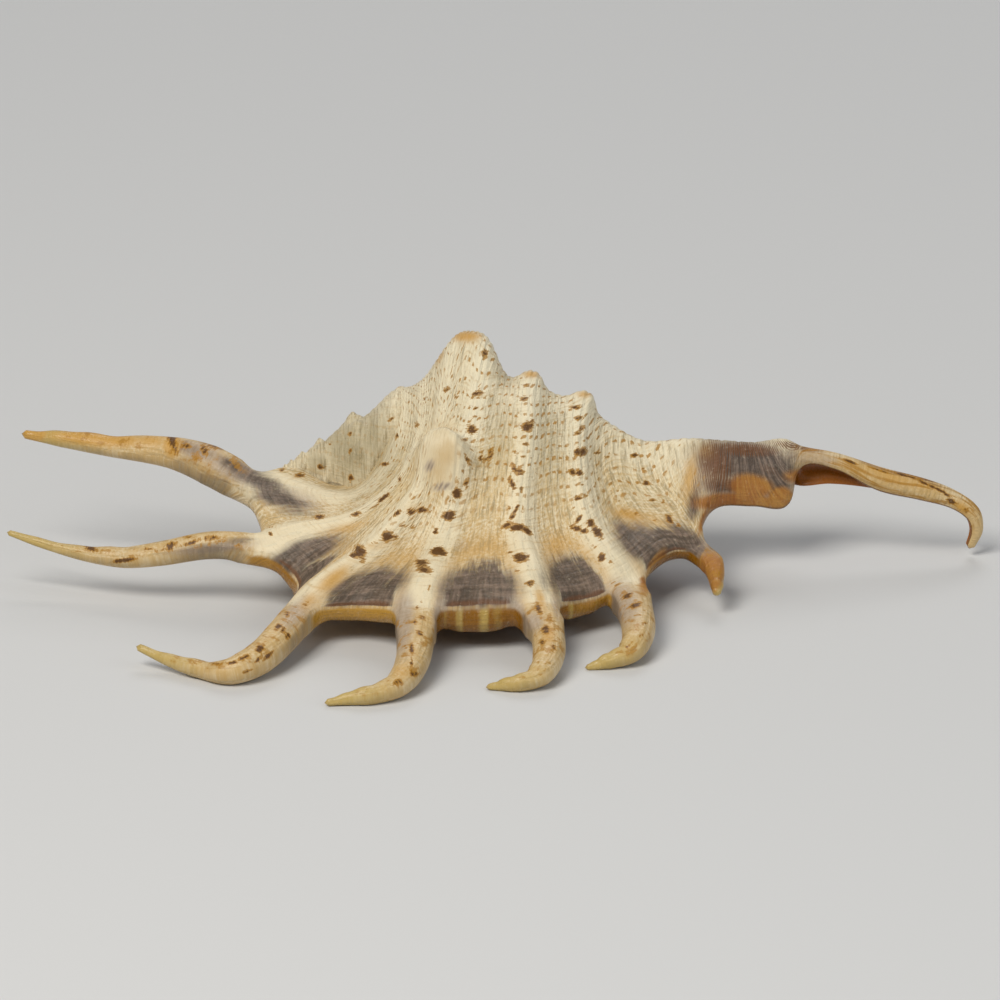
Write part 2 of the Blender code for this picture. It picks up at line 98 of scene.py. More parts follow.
LIP_EDGE = (
    (-30.4, 0, 17.6), (-35.8, -2, 15.8), (-34, -6.5, 11.4), (-34.1, -11, 10.2), (-28.5, -18, 6.7),
    (-28.7, -28, 6.6), (-20, -27.5, 6.6), (-11.6, -32, 8), (-3.6, -29.5, 7.5), (5.7, -29, 7.6),
    (11.9, -23.5, 6), (17.5, -20.5, 6.9), (24.6, -8.5, 7.8), (28.7, -7.5, 7.6), (29.1, -2, 9.6),
)
RIM_FOOT = (
    (-29.6, 1, 15.4), (-35.2, -1, 12.6), (-33.4, -6, 8.4), (-33.6, -10.6, 7.2), (-29.4, -17.4, 3.6),
    (-27.9, -27.6, 3.6), (-19.8, -26.8, 3), (-11.4, -31.4, 3.6), (-3.6, -30.2, 2.4), (5.6, -28.8, 3.2),
    (11.8, -23.8, 2.6), (17, -20.2, 3.6), (23.6, -7.6, 5.2), (28.2, -6.8, 5.6), (28.8, -1.2, 7.8),
)
INNER_LIP = (
    (-22.6, 2.6, 12), (-21.8, -1, 10.6), (-20.8, -4, 9.6), (-19.6, -6.5, 9), (-17.6, -9, 8.6),
    (-14.8, -11, 8.2), (-11, -12, 8), (-6.8, -12.2, 8), (-2, -11.6, 8), (3, -10.6, 8),
    (8.2, -8.8, 7.8), (13.6, -6, 7.8), (19.4, -1.6, 7.8), (25.2, 1.2, 8.2), (28.4, 2.4, 8.8),
)
CAVITY_FRONT = (
    (-16.8, 2.6, 18.8), (-15.6, 0.4, 17.4), (-14.2, -2, 17), (-13.2, -4, 17), (-12, -6, 17.2),
    (-10.2, -7.6, 17.6), (-8, -7.6, 17.8), (-5, -6.4, 18.4), (-0.4, -3.8, 19), (3.7, -2.2, 18.6),
    (7.6, -0.6, 17.4), (11.4, 1.4, 15.6), (16.6, 3.6, 13.4), (22.4, 4.6, 12.2), (27.9, 5.2, 12.2),
)
CAVITY_ROOF = (
    (-15.6, 10.2, 22.4), (-14.2, 8.6, 22.2), (-12.8, 7, 22.2), (-11, 6, 22.6), (-9.2, 5.4, 23.2),
    (-7.2, 5.2, 23.8), (-4.8, 5, 24), (-2, 5.2, 23.6), (1.1, 5.4, 22.6), (4.3, 5.6, 21.6),
    (8, 6, 20), (11.8, 6.4, 18), (16.2, 6.8, 15.4), (21.2, 7, 14), (27.2, 7.2, 14.2),
)
COLUMELLA = (
    (-18.4, 13.6, 11.4), (-16.4, 5, 15), (-14, 1.6, 15.6), (-11.6, 0.4, 15.8), (-9.2, 0, 15.8),
    (-7, -0.2, 15.6), (-4.6, -0.2, 15.4), (-1.8, 0.2, 15.2), (1.2, 0.8, 15), (4.4, 1.8, 14.6),
    (8.2, 3.2, 13.8), (12, 4.8, 12.8), (16.6, 6.4, 12), (21.4, 7.6, 11.8), (27.2, 8.2, 12.4),
)
CALLUS_EDGE = (
    (-20.4, 6.4, 8.4), (-18, 2, 8), (-15.2, 0, 7.2), (-12.4, -1, 6.6), (-9.8, -1.6, 6.2),
    (-7.2, -2, 6), (-4.6, -2, 5.8), (-1.8, -1.8, 5.6), (1.2, -1.2, 5.6), (4.6, -0.2, 5.8),
    (8.4, 1.2, 6.2), (12.4, 3.2, 6.8), (17, 5.6, 7.8), (21.8, 7.4, 8.8), (27.4, 8.6, 9.8),
)
BELLY = (
    (-20.8, 7.6, 7), (-18.2, 7.4, 3.6), (-15.6, 7.4, 1.8), (-12.8, 7.2, 0.6), (-10, 7, 0.1),
    (-7.4, 7, -0.1), (-4.6, 7, -0.2), (-1.8, 7, -0.2), (1.2, 7, -0.1), (4.6, 7.2, 0.3),
    (8.4, 7.6, 1.4), (12.4, 8.2, 3.4), (17, 9.2, 6), (21.8, 10.4, 8.2), (27.4, 11.4, 9.8),
)
BACK = (
    (-18.6, 15.2, 11.2), (-16.6, 16.4, 11.2), (-14.6, 17.6, 11.4), (-12.4, 18.8, 11.6), (-10.2, 19.8, 11.8),
    (-7.8, 20.4, 12), (-5, 20.4, 12.2), (-2, 19.8, 12.4), (1.2, 18.8, 12.6), (4.6, 17.8, 12.8),
    (8.2, 16.4, 13), (12.2, 14.8, 13.2), (16.6, 13.2, 13.4), (21.4, 12.6, 13.6), (27.4, 12.8, 14.2),
)

# The canal after its neck: middle of the section, and its half height
CANAL_PATH = (
    (31.6, 7.4, 13.9, 4.2), (36.5, 8, 13.6, 4), (41, 8.6, 13.7, 4.2), (43.4, 8.9, 13.9, 2.9),
    (48, 9.1, 13.5, 2.3), (54.5, 9.3, 11.8, 1.8), (60.9, 9.4, 10.1, 1.7), (65.2, 9.4, 8.6, 1.4),
    (67.9, 9.2, 6.6, 1.25), (68.5, 9, 4.2, 1), (67.7, 8.8, 1.9, 0.7),
)
# Sections of the canal for a half height of 1: offsets to the lip's side and up, in ring order
TROUGH = (
    (1.05, -0.90), (0.98, -0.20), (0.62, 0.60), (-0.25, 1.00), (-1.02, 0.15), (-0.78, -0.86),
    (-0.42, -0.62), (-0.30, 0), (0, 0.36), (0.42, 0), (0.62, -0.78), (0.84, -1.04),
)
ROD = (
    (0.86, -0.50), (0.98, 0.10), (0.66, 0.76), (-0.15, 1.00), (-0.98, 0.10), (-0.50, -0.86),
    (-0.08, -0.86), (0.04, -0.66), (0.20, -0.56), (0.36, -0.62), (0.48, -0.74), (0.66, -0.70),
)
# Where the near wall has ended and the groove faces the lip's side
OPEN_SIDE = (
    (0.72, 0.30), (0.70, 0.62), (0.40, 0.92), (-0.20, 1.00), (-0.95, 0.15), (-0.62, -0.80),
    (0.05, -1.00), (-0.12, -0.62), (-0.38, -0.10), (-0.20, 0.34), (0.22, 0.36), (0.52, 0.18),
)
CANAL_SECTIONS = (TROUGH,) * 3 + (OPEN_SIDE,) * 2 + (ROD,) * 6

# Each finger: the station it grows from, then its middle line and radius
FINGERS = {
    "back_finger": (1, (
        (-41.6, 2, 16.6, 2.9), (-47.3, 5, 17.5, 2.3), (-55.9, 7.5, 17.8, 1.85), (-63, 9.5, 18.1, 1.35),
        (-68.2, 11, 18.2, 0.75))),
    "second_finger": (3, (
        (-40.8, -10.5, 9, 2), (-48.7, -9.5, 7.3, 1.75), (-53.7, -8.5, 6.5, 1.65), (-59.2, -7, 6.6, 1.3),
        (-65.9, -5, 7.5, 0.8), (-70.2, -4, 8.5, 0.45))),
    "third_finger": (5, (
        (-31.1, -35.3, 4, 2.5), (-34.1, -40.7, 3, 2.35), (-38, -43.5, 2.3, 2.1), (-42.3, -41.4, 1.9, 1.5),
        (-46.6, -38.8, 2.2, 1.1), (-51, -36.6, 3.2, 0.6))),
    "fourth_finger": (7, (
        (-11.9, -36.5, 4.8, 2.75), (-12.4, -43.5, 3.5, 2.4), (-14.3, -49, 2.5, 2.1), (-17.9, -51.5, 1.9, 1.6),
        (-21.5, -52, 1.4, 1.1), (-24.2, -52.5, 0.9, 0.55))),
    "fifth_finger": (9, (
        (6.6, -33.5, 4.4, 2.45), (6.9, -39.5, 3.2, 2.3), (5.6, -45, 2.4, 1.95), (2.9, -46.5, 1.8, 1.45),
        (0.2, -46.2, 1.2, 0.95), (-1.6, -46, 0.8, 0.5))),
    "sixth_finger": (11, (
        (19.2, -25.5, 4.3, 2.6), (19.6, -31, 3.2, 2.35), (18.4, -36, 2.5, 1.95), (16, -37.2, 1.8, 1.45),
        (14, -37.7, 1.2, 0.95), (12.4, -38, 0.75, 0.5))),
    "notch_lobe": (13, (
        (30.4, -10, 5.8, 1.5), (30.9, -13.5, 4.7, 1.3), (30.9, -15.9, 3.9, 0.7))),
}
# A finger's root: its half width on the lip, how soon it turns round, and how far it is smoothed
HALF_ROOT_STATIONS = 0.36
ROOT_BLEND_MM = 7.0
ROOT_SOFT_MM = 1.6
# Worn finger ends: how much thinner they are than the solid's, and how uneven
TIP_THINNING = 0.15
FINGER_WAVER = 0.05
# How fast the lip's fields fade along a finger, in millimetres
GROWTH_FADE_MM = 3
CROWN_FADE_MM = 4
FIELD_FADE_MM = 5
FADING_FIELDS = ("inside", "rim", "band", "wall", "rib", "edge")
# How far the cap on the canal's end stands out
CANAL_CAP_MM = 0.5

# Lumps on the outer wall: station, place up the wall (0 lip edge, 3 crest, 5 belly), height, how far
# they reach along the shell and up the wall, and how much they lean upwards
KNOBS = (
    (6.05, 3.02, 4.7, 4.4, 6.5, 0), (5.95, 2.05, 5.6, 3.4, 3.9, 0.9), (9, 3, 1.5, 2, 4, 0),
    (11, 3, 1.5, 2, 4, 0), (6.3, 3.75, 2.6, 3.2, 3.5, 0), (6.5, 4.35, 1.6, 2.8, 3, 0),
)
# Ridges that run down into the fingers: station, height, half width in stations at the lip and the
# crest, and the place up the wall where they have faded
RIDGES = (
    (1, 0.9, 0.34, 0.34, 1.3), (3, 0.8, 0.34, 0.34, 1.5), (5, 0.9, 0.34, 0.40, 1.9), (7, 1.1, 0.36, 0.75, 3.4),
    (9, 1.1, 0.36, 0.48, 3.4), (11, 1.1, 0.36, 0.42, 3.4),
)
# How squarely a lump falls off along the shell and up the wall: 2 is a plain bell curve
KNOB_FALL = 3
KNOB_FALL_UP = 2.6
# Fine cords: how many, and the power that rounds them
CORDS_PER_STATION = 4
CORD_SHARPNESS = 0.7

# Where the last whorl covers the spire: degrees up from the lip's side, then X
COVERED = ((0, -21.5), (60, -17.5), (110, -15.8), (200, -17.8), (270, -20), (330, -21.5), (360, -21.5))
# The cover's shape: how far it fades in, how much it shrinks, and how it hugs the last whorl's edge
COVERED_FADE = 5.0
COVERED_SHRINK = 0.42
COVERED_HUG = 1.5
COVERED_SWELL = 0.03
# The spire's whorls: each suture's distance from the apex, where the shoulder lies between two, how
# far the whorls step out, the lumps on the shoulder, and the threads
SUTURES = (0.3, 0.8, 1.5, 2.6, 4.7, 7.8, 14.6, 27)
SHOULDER = 0.72
WHORL_STEP = 0.17
SPIRE_LUMPS_PER_TURN = 10
SPIRE_LUMP = 0.09
SPIRE_LUMP_REACH = 0.14
SPIRE_THREAD = 0.06
SPIRE_CORDS_PER_MM = 1.2
SPIRE_WALL = 3
# The glazed part that shows inside the opening: X, then the cosine of the angle from its middle
GLAZE_FROM_X = (-24.3, -21.8)
GLAZE_MIDDLE = math.radians(299)
GLAZE_FROM_COS = (0.76, 0.94)

# Marks and patches as seen in the picture, by the field they fill: pixels across and down, half
# width, half height, then strength and degrees turned where they aren't 1 and 0
PATCHES = {
    # Brown marks
    "marks": (
        (526, 385, 5, 2), (524, 399, 5, 3, 1, 10), (527, 427, 7, 6, 1.2), (532, 422, 3, 3), (526, 444, 5, 2),
        (516, 453, 4, 2, 1, -20), (524, 457, 4, 1.5, 0.9), (532, 457, 2, 1.5, 0.9),
        (513, 467, 6, 2.5, 1.1, -55), (519, 472, 7, 3, 1.2), (512, 484, 9, 2.5, 1.2, -62), (521, 490, 2, 4),
        (509, 508, 1.5, 4, 0.9), (516, 509, 6, 2, 1.1, 60), (512, 517, 5, 3, 1.2, 60),
        (523, 508, 1.5, 4, 0.9), (507, 525, 7, 3, 1.3, 25), (517, 527, 9, 4, 1.4), (526, 530, 8, 3, 1.3, -40),
        (517, 541, 2, 1, 0.9), (520, 557, 8, 4.5, 1.4), (511, 552, 4, 1.5), (528, 556, 3, 1.5, 1, -20),
        (516, 570, 4, 1, 0.7), (530, 582, 5, 3), (538, 607, 4, 8, 1.1, 20), (533, 595, 2, 3, 0.7),
        (545, 628, 5, 6), (549, 617, 3, 5, 0.8), (541, 640, 4, 4, 0.9), (553, 645, 4, 4, 0.8, 40),
        (530, 652, 5, 2, 0.8, 30), (577, 407, 8, 2, 1.1, 5), (578, 418, 6, 2.5), (582, 428, 4, 3, 1, 50),
        (578, 433, 4, 2, 0.9), (587, 438, 2, 2, 0.8), (577, 452, 4, 5, 1.2, 20), (583, 452, 4, 6, 1.2, -20),
        (597, 453, 5, 1.5, 0.9), (608, 457, 3, 1.5, 0.9), (572, 472, 4, 4, 1.2), (579, 473, 5, 3.5, 1.2),
        (551, 472, 3, 1.3, 0.8), (559, 471, 3, 1.3, 0.8), (538, 473, 4, 1, 0.8), (592, 473, 5, 1, 0.7),
        (578, 498, 6, 2.5, 1.1), (585, 496, 3, 2), (582, 484, 2, 1.5, 0.9), (573, 508, 2, 2, 0.8),
        (578, 519, 6, 2.5, 1.2, 55), (576, 528, 6, 3, 1.3, -15), (590, 523, 4, 5, 1.2, 30),
        (597, 532, 8, 4, 1.3, -55), (584, 531, 5, 2.5, 1.2), (593, 546, 4, 2, 0.8), (601, 557, 4, 5, 1.2),
        (610, 561, 3, 2, 0.8), (616, 583, 8, 1.5, 1, 22), (626, 595, 7, 2.5, 1.2, 25),
        (634, 604, 7, 3, 1.2, 20), (636, 614, 6, 1.5, 0.9, 15), (643, 622, 5, 2, 0.9, 20),
        (640, 633, 5, 1.5, 0.8, 25), (628, 643, 6, 2, 0.8, 35), (635, 455, 4, 3, 1.1), (646, 483, 4, 3, 1.2),
        (643, 469, 2, 2, 0.9), (652, 500, 4, 2), (611, 491, 2, 1.3, 0.8), (617, 491, 2, 1.3, 0.8),
        (618, 501, 3, 1.2, 0.8), (636, 514, 4, 2, 0.9), (669, 519, 6, 3, 1.1, -55),
        (678, 525, 3, 2, 0.9, -30), (681, 446, 2, 2, 0.8), (663, 502, 2, 3, 0.9), (625, 440, 2, 1.5, 0.8),
        (655, 520, 2, 2, 0.7), (320, 517, 6, 3, 1.1, 10), (271, 533, 3, 3), (271, 527, 3, 1, 0.8),
        (357, 514, 6, 3, 1, 20), (384, 498, 9, 2.2, 1.2, 40), (376, 506, 6, 1.5, 0.8, 30),
        (398, 513, 6, 3, 1.1, 40), (412, 512, 5, 4, 1.1), (423, 510, 7, 3.5, 1.2), (431, 510, 4, 2, 0.8),
        (449, 516, 7, 5, 1.5), (457, 493, 5, 6, 1.3), (467, 485, 3, 4, 1.1), (449, 500, 3, 2),
        (404, 525, 6, 1.8, 0.8), (413, 527, 4, 3, 0.8), (436, 531, 3, 3.5, 1.1), (388, 536, 6, 6, 1.3),
        (396, 537, 6, 2, 1.1, -10), (377, 542, 4, 1.8, 0.8), (361, 551, 6, 7, 1.4, 30), (355, 555, 5, 3, 1.1),
        (364, 560, 3, 3), (438, 551, 8, 4.5, 1.4), (444, 553, 5, 3, 1.2), (422, 562, 8, 4, 1.2, -10),
        (425, 569, 9, 4, 1.1, -10), (430, 586, 2, 3, 0.9), (421, 600, 2, 2, 0.9), (418, 606, 1.5, 2, 0.9),
        (423, 616, 5, 2.5), (416, 620, 3, 3), (421, 631, 5, 3, 0.9, -20), (413, 646, 2.5, 6, 1.1),
        (407, 644, 2, 3, 0.9), (413, 660, 2, 7), (416, 671, 7, 2.3, 1.1), (400, 679, 6, 4, 0.9),
        (308, 602, 4, 2, 0.9), (297, 606, 3, 1.5, 0.8), (290, 613, 3, 4, 0.9), (281, 625, 5, 3, 1.1, 45),
        (286, 628, 3, 4, 1.1), (291, 634, 3, 4, 1.2, 20), (264, 646, 6, 4, 1.2, 45),
        (272, 653, 8, 2.5, 1.2, 42), (262, 657, 6, 2, 1.1, 40), (248, 655, 7, 2.5, 1.1, 25),
        (236, 660, 8, 2, 1, 10), (220, 661, 8, 2, 0.9, -10), (252, 668, 8, 2, 0.9, 20),
        (200, 655, 7, 1.5, 0.7, -15), (485, 353, 4, 4, 1.1, 30), (479, 383, 4, 2),
        (477, 394, 7, 2.8, 1.2, 10), (474, 408, 6, 2), (476, 417, 4, 1.8, 0.9), (472, 430, 6, 4.5, 1.3, -20),
        (465, 440, 4, 1.8, 0.9), (468, 460, 10, 1.8, 1.1, -60), (463, 471, 2, 4, 0.8),
        (481, 458, 3, 3.5, 1.1), (491, 453, 2.5, 5, 1.1), (486, 460, 5, 2.5, 1.1, 20),
        (489, 469, 1.5, 5, 0.8), (451, 376, 3, 1.8, 0.9), (447, 390, 5, 1.5, 0.9, 10),
        (456, 397, 4, 1.8, 0.9), (426, 399, 5, 2, 0.9), (440, 404, 5, 1.3, 0.8, 15), (391, 419, 5, 2, 1, 35),
        (397, 436, 2, 4, 0.9), (385, 464, 5, 2.3, 1.1, 10), (417, 425, 3, 4, 0.8, 30),
        (417, 471, 4, 2, 0.8, 30), (410, 460, 3, 1.3, 0.8, 30), (400, 480, 2, 4, 0.8), (350, 434, 2, 3, 0.9),
        (350, 451, 2, 3), (351, 478, 3, 4, 1.1), (320, 467, 4, 3, 1.1), (300, 475, 7, 2.5, 1, 5),
        (282, 470, 4, 3, 0.9), (330, 444, 2, 1.5, 0.8), (240, 545, 5, 2, 0.8), (222, 541, 6, 1.5, 0.9),
        (205, 538, 5, 2.5, 0.9), (190, 537, 7, 1.5, 0.8), (150, 549, 8, 1.5, 0.9),
        (125, 560, 12, 2.5, 1.3, 8), (92, 548, 8, 4, 1.1, -25), (60, 537, 6, 2, 0.7, -20),
        (172, 546, 7, 5, 1.1, 30), (192, 543, 9, 2.5, 1.1, 15), (160, 551, 6, 2, 0.8, 10),
        (212, 538, 8, 3, 1, 5), (172, 440, 4, 9, 1.4, 10), (176, 450, 3, 6, 1.1), (186, 446, 8, 3, 1, -10),
        (205, 450, 4, 8, 1.1, 20), (214, 445, 6, 5, 1.1), (226, 447, 9, 2, 1, -30),
        (196, 458, 8, 3, 0.8, -20), (246, 461, 3, 3, 0.9), (880, 470, 14, 1.4, 0.9, -18),
        (905, 475, 22, 1.6, 1, -16), (930, 485, 26, 1.8, 1.1, -25), (946, 493, 10, 1.6, 1, -35),
        (954, 502, 6, 3, 1.1, -30), (968, 510, 4, 4, 0.9, -60), (850, 461, 10, 2, 1, -20),
    ),
    # Violet grey by the lip and on the canal. The first two are violet grey marks that also paint the shade on the
    # lower left of the knob by the lip and the shadow under it
    "violet": (
        (430, 467, 5, 3.5, 0.62, 40), (444, 486, 11, 2.6, 0.66, 8), (268, 488, 44, 15, 1.1, -32),
        (292, 504, 24, 10, 0.8, -10), (236, 467, 24, 8, 0.8, -28), (305, 552, 44, 16, 1.1, 24),
        (240, 541, 32, 5, 0.6, 8), (368, 585, 52, 16, 1.1, 12), (482, 586, 50, 20, 1.1),
        (568, 577, 34, 23, 1.1, -10), (638, 543, 36, 20, 1.1, -25), (688, 540, 26, 12, 1, -38),
        (748, 463, 54, 21, 1.25, -10), (778, 480, 16, 20, 1.1), (728, 486, 26, 10, 0.9),
        (693, 506, 8, 20, 0.8, -10), (521, 426, 7, 6, 0.5), (330, 528, 20, 5, 0.5, 14),
        (425, 568, 12, 6, 0.5), (196, 452, 20, 8, 0.5, -15),
    ),
    # Pale lilac washes, mostly on the fingers' roots. The first two darken the lower left of the knob by the lip
    # and the place under it, as part of its painted shade
    "lilac": (
        (430, 466, 7, 5, 1, 40), (443, 487, 13, 4, 1, 8), (403, 622, 13, 36, 1, -4),
        (441, 612, 8, 34, 0.9, -4), (517, 612, 10, 26, 0.9, 15), (532, 620, 14, 13, 0.8),
        (620, 602, 20, 27, 0.9, 25), (298, 612, 26, 14, 0.8, 45), (215, 548, 52, 6, 0.8, 6),
        (232, 470, 44, 11, 0.9, -26), (812, 458, 32, 9, 1.1, -8), (750, 478, 62, 40),
        (200, 452, 26, 11, 1, -15), (300, 500, 34, 14, 0.6, -20), (700, 550, 14, 16, 0.8, -45),
        (480, 606, 30, 5, 0.6), (556, 606, 6, 20, 0.6, 10), (585, 606, 16, 5, 0.5, 10),
        (462, 545, 14, 10, 0.4),
    ),
    # Warm patches
    "ochre": (
        (95, 438, 50, 8, 1.2, -4), (30, 433, 14, 9, 1.7), (150, 440, 18, 8, 0.8), (172, 444, 8, 13, 1.3),
        (415, 508, 16, 7, 0.4), (346, 528, 30, 6, 0.6, 14), (466, 336, 18, 6), (531, 374, 10, 4, 0.8),
        (584, 394, 9, 4, 0.7), (335, 578, 24, 8, 0.9, 38), (310, 600, 14, 8, 0.7, 48),
        (540, 598, 6, 14, 0.7, 15), (548, 632, 8, 12, 0.7), (475, 552, 14, 12, 0.35), (500, 545, 22, 9, 0.3),
        (556, 546, 14, 18, 0.5, -15), (627, 514, 20, 7, 0.8, -10), (405, 668, 14, 10, 0.5),
        (690, 478, 8, 30, 0.7, -10), (706, 452, 12, 12, 0.5), (963, 508, 12, 7, 0.8, -40),
        (970, 528, 7, 14, 0.4), (900, 478, 60, 9, 0.6, -15), (380, 545, 34, 6, 0.4, 12),
        (400, 383, 16, 3, 0.8, 28), (440, 358, 10, 3, 0.6, 60),
    ),
    # Orange by the canal's edge and on the lobe
    "ember": (
        (735, 503, 40, 10, 1.1), (750, 487, 24, 13, 0.85, -8), (782, 500, 13, 12, 1.1),
        (816, 478, 28, 9, 1.1, -4), (709, 572, 14, 19, 1.2, -12), (653, 572, 24, 8, 1, 60),
        (704, 520, 5, 18, 0.7, -20), (716, 500, 10, 7, 0.8, 30),
    ),
    # Brown between the cords
    "bark": (
        (714, 466, 18, 30, 1.3), (745, 449, 38, 8, 1.2, -3), (800, 447, 34, 5, 1.1, -10),
        (765, 494, 26, 8, 0.5), (186, 446, 20, 12, 0.8, -10), (212, 443, 26, 5, 1.1, -18),
        (905, 473, 64, 6, 1.2, -17), (698, 484, 10, 26, 0.7, -12), (770, 470, 22, 8, 0.5, -20),
    ),
    # Painted shade on the spire where the last whorl overhangs it, and in the furrows between the ridges
    "painted_shade": (
        (372, 440, 24, 40, 0.9, 20), (350, 452, 30, 36, 1, 30), (318, 462, 18, 12, 0.7, 30),
        (500, 440, 12, 40, 0.5), (548, 440, 10, 60, 0.35, 5), (507, 378, 14, 6, 0.5, -15),
        (556, 384, 14, 6, 0.5, -10),
    ),
    # Smooth worn tops
    "dome": (
        (441, 455, 19, 33, 1.3), (466, 338, 16, 8, 0.8), (531, 376, 10, 6, 0.7), (583, 397, 9, 6, 0.7),
    ),
}
PATCH_DEFAULTS = (1, 0)
SHOWN_ROUNDS = 3
# Pale ribs across the rim of the lip: station, height in millimetres
RIM_RIBS = ((7.45, 0.35), (7.73, 0.7), (8.14, 0.9), (8.36, 0.5), (9.66, 0.7), (10.3, 0.4))
RIM_RIB_REACH = 0.07

# The material: how fine its noises are per metre, and its relief
CLOUD_SCALE = 90.0
BLOTCH_SCALE = 520.0
GRAIN_SCALE = 1700.0
BUMP_STRENGTH = 0.8
BUMP_DISTANCE = 0.0004
# The canal in cords along the shell: where it starts, turns into a rod and ends in a hook, and how
# its lines fan out
CANAL_CORDS = (56.0, 60.0)
ROD_CORDS = (69.0, 73.0)
HOOK_CORDS = (86.0, 92.0)
FAN_CORD = 61.0
FAN_SPREAD = 0.13

# The lights, faced to the middle of the floor: place, size and colour
KEY_LIGHT = ((-0.35, -0.45, 0.75), 0.5, (1.0, 0.97, 0.92))
FILL_LIGHT = ((0.65, -0.35, 0.35), 0.6, (0.92, 0.96, 1.0))
BACK_LIGHT = ((0.1, 0.7, 0.6), 0.4, (1.0, 1.0, 1.0))
ROOM_COLOUR = (0.9, 0.93, 1.0, 1)
ROOM_STRENGTH = 0.2
FLOOR_ROUGHNESS = 0.7
CAMERA_CLIP_START = 0.01


def unit(v):
    """Vectors of length 1 along the last axis."""
    return v / (np.linalg.norm(v, axis=-1, keepdims=True) + 1e-9)


def smooth_chain(points, t, closed=False):
    """A smooth curve through points: on each span a cubic, whose end slopes run from the neighbour
    before to the neighbour after and are as long as the span. Later axes of points go along."""
    p = np.asarray(points, float)
    n = len(p)
    after, before = np.roll(p, -1, 0), np.roll(p, 1, 0)
    if not closed:
        after[-1], before[0] = p[-1], p[0]
    slope = unit(after - before)
    i = np.floor(t).astype(int)
    i = i % n if closed else np.clip(i, 0, n - 2)
    f = (t - np.floor(t) if closed else t - i).reshape((-1,) + (1,) * (p.ndim - 1))
    a, b = p[i], p[(i + 1) % n]
    length = np.linalg.norm(b - a, axis=-1, keepdims=True)
    return (
        a * (2 * f**3 - 3 * f**2 + 1) + b * (3 * f**2 - 2 * f**3)
        + slope[i] * length * (f**3 - 2 * f**2 + f) + slope[(i + 1) % n] * length * (f**3 - f**2)
    )


def span_steps(counts, first=0.0):
    """Parameters that cut each span of a chain into its count of equal steps, without the last end."""
    return np.concatenate([first + k + np.arange(n) / n for k, n in enumerate(counts)])


def stations():
    """All the rails as one array: stations, then the 12 rails in ring order from the lip edge."""
    body = np.array([
        LIP_EDGE, LOWER_FRONT, UPPER_FRONT, CREST, BACK, BELLY,
        CALLUS_EDGE, COLUMELLA, CAVITY_ROOF, CAVITY_FRONT, INNER_LIP, RIM_FOOT,
    ]).transpose(1, 0, 2)
    path = np.array(CANAL_PATH)
    run = unit(np.gradient(path[:, :3], axis=0))
    side = np.array([0.0, -1.0, 0.0]) * np.ones((len(path), 1))
    up = unit(np.cross(side, run))
    canal = []
    for k, outline in enumerate(CANAL_SECTIONS):
        section = np.array(outline) * path[k, 3]
        canal.append(path[k, :3] + section[:, :1] * side[k] + section[:, 1:] * up[k])
    return np.concatenate([body, np.array(canal)])


def soft_step(x, low, high):
    """0 below low, 1 above high, and a smooth rise between them."""
    w = np.clip((x - low) / (high - low), 0, 1)
    return w * w * (3 - 2 * w)


def window(x, low, rise, high, fall):
    """A smooth rise from 0 at low to 1 at rise, times a smooth fall from 1 at high to 0 at fall."""
    return soft_step(x, low, rise) * (1 - soft_step(x, high, fall))


def column_parameters(n_body, n_canal, per_station, per_canal_station):
    """Places along the shell, in stations. Half of each station's columns lie on a finger's root."""
    k = np.arange(n_body * per_station)
    station, f = k // per_station, (k % per_station) / per_station
    from_finger = np.where(station % 2 == 1, f, 1 - f)
    root = HALF_ROOT_STATIONS
    spread = np.where(from_finger < 0.5, from_finger * 2 * root, root + (from_finger - 0.5) * 2 * (1 - root))
    body = station + np.where(station % 2 == 1, spread, 1 - spread)
    canal = n_body + np.arange(n_canal * per_canal_station + 1) / per_canal_station
    return np.concatenate([body, canal])


def relief(grid, outward, c, t):
    """How far the outer wall moves out for its lumps and finger ridges, by sums of bell curves. A lump
    goes out along the normal at its middle and its lean, by the distance from there in millimetres.
    A ridge goes out along each point's normal, by the stations between the point and the ridge, and
    is wider at the crest."""
    moved = np.zeros(grid.shape)
    outer = (t <= BELLY_AT)[None, :, None]
    for c0, t0, top, along_reach, up_reach, lean in KNOBS:
        i, j = np.argmin(np.abs(c - c0)), np.argmin(np.abs(t - t0))
        away = grid - grid[i, j]
        run = unit(grid[i + 1, j] - grid[i - 1, j])
        along = away @ run
        up = np.linalg.norm(away - along[..., None] * run, axis=-1)
        height = top * np.exp(-np.abs(along / along_reach) ** KNOB_FALL - (up / up_reach) ** KNOB_FALL_UP)
        moved += height[..., None] * unit(outward[i, j] + (0, 0, lean))
    for station, top, lip_reach, crest_reach, end in RIDGES:
        fade = np.clip((end - t) / 1.2, 0, 1) * np.clip(0.35 + t / 0.8, 0, 1)
        reach = lip_reach + (crest_reach - lip_reach) * np.clip((t - 0.5) / 2, 0, 1)
        height = top * fade * np.exp(-((c[:, None] - station) / reach) ** 2)
        moved += height[..., None] * outward
    return moved * outer


def cord_relief(c, t, height):
    """Fine cords along the growth: the size of a sine across the stations, to a power that rounds it,
    times a slow swell, on the outer wall only."""
    wave = np.abs(np.sin(np.pi * CORDS_PER_STATION * c)) ** CORD_SHARPNESS
    swell = 0.75 + 0.25 * np.sin(2.3 * c) * np.cos(1.7 * c + 3 * t)
    outer = soft_step(t, 0.0, 0.25) * (1 - soft_step(t, 4.4, 5.0))
    canal = 1 - soft_step(c, 14.0, 18.0)
    return height * (wave - 0.6) * swell * outer * canal * (t <= BELLY_AT)


def quads(a, b, c, d):
    """Faces from four arrays of vertex numbers."""
    return np.stack([a, b, c, d], -1).reshape(-1, 4)


def tube_faces(number):
    """Faces between the rows of a grid of vertex numbers whose rows are closed rings."""
    return quads(number[:-1], number[1:], np.roll(number[1:], -1, 1), np.roll(number[:-1], -1, 1))


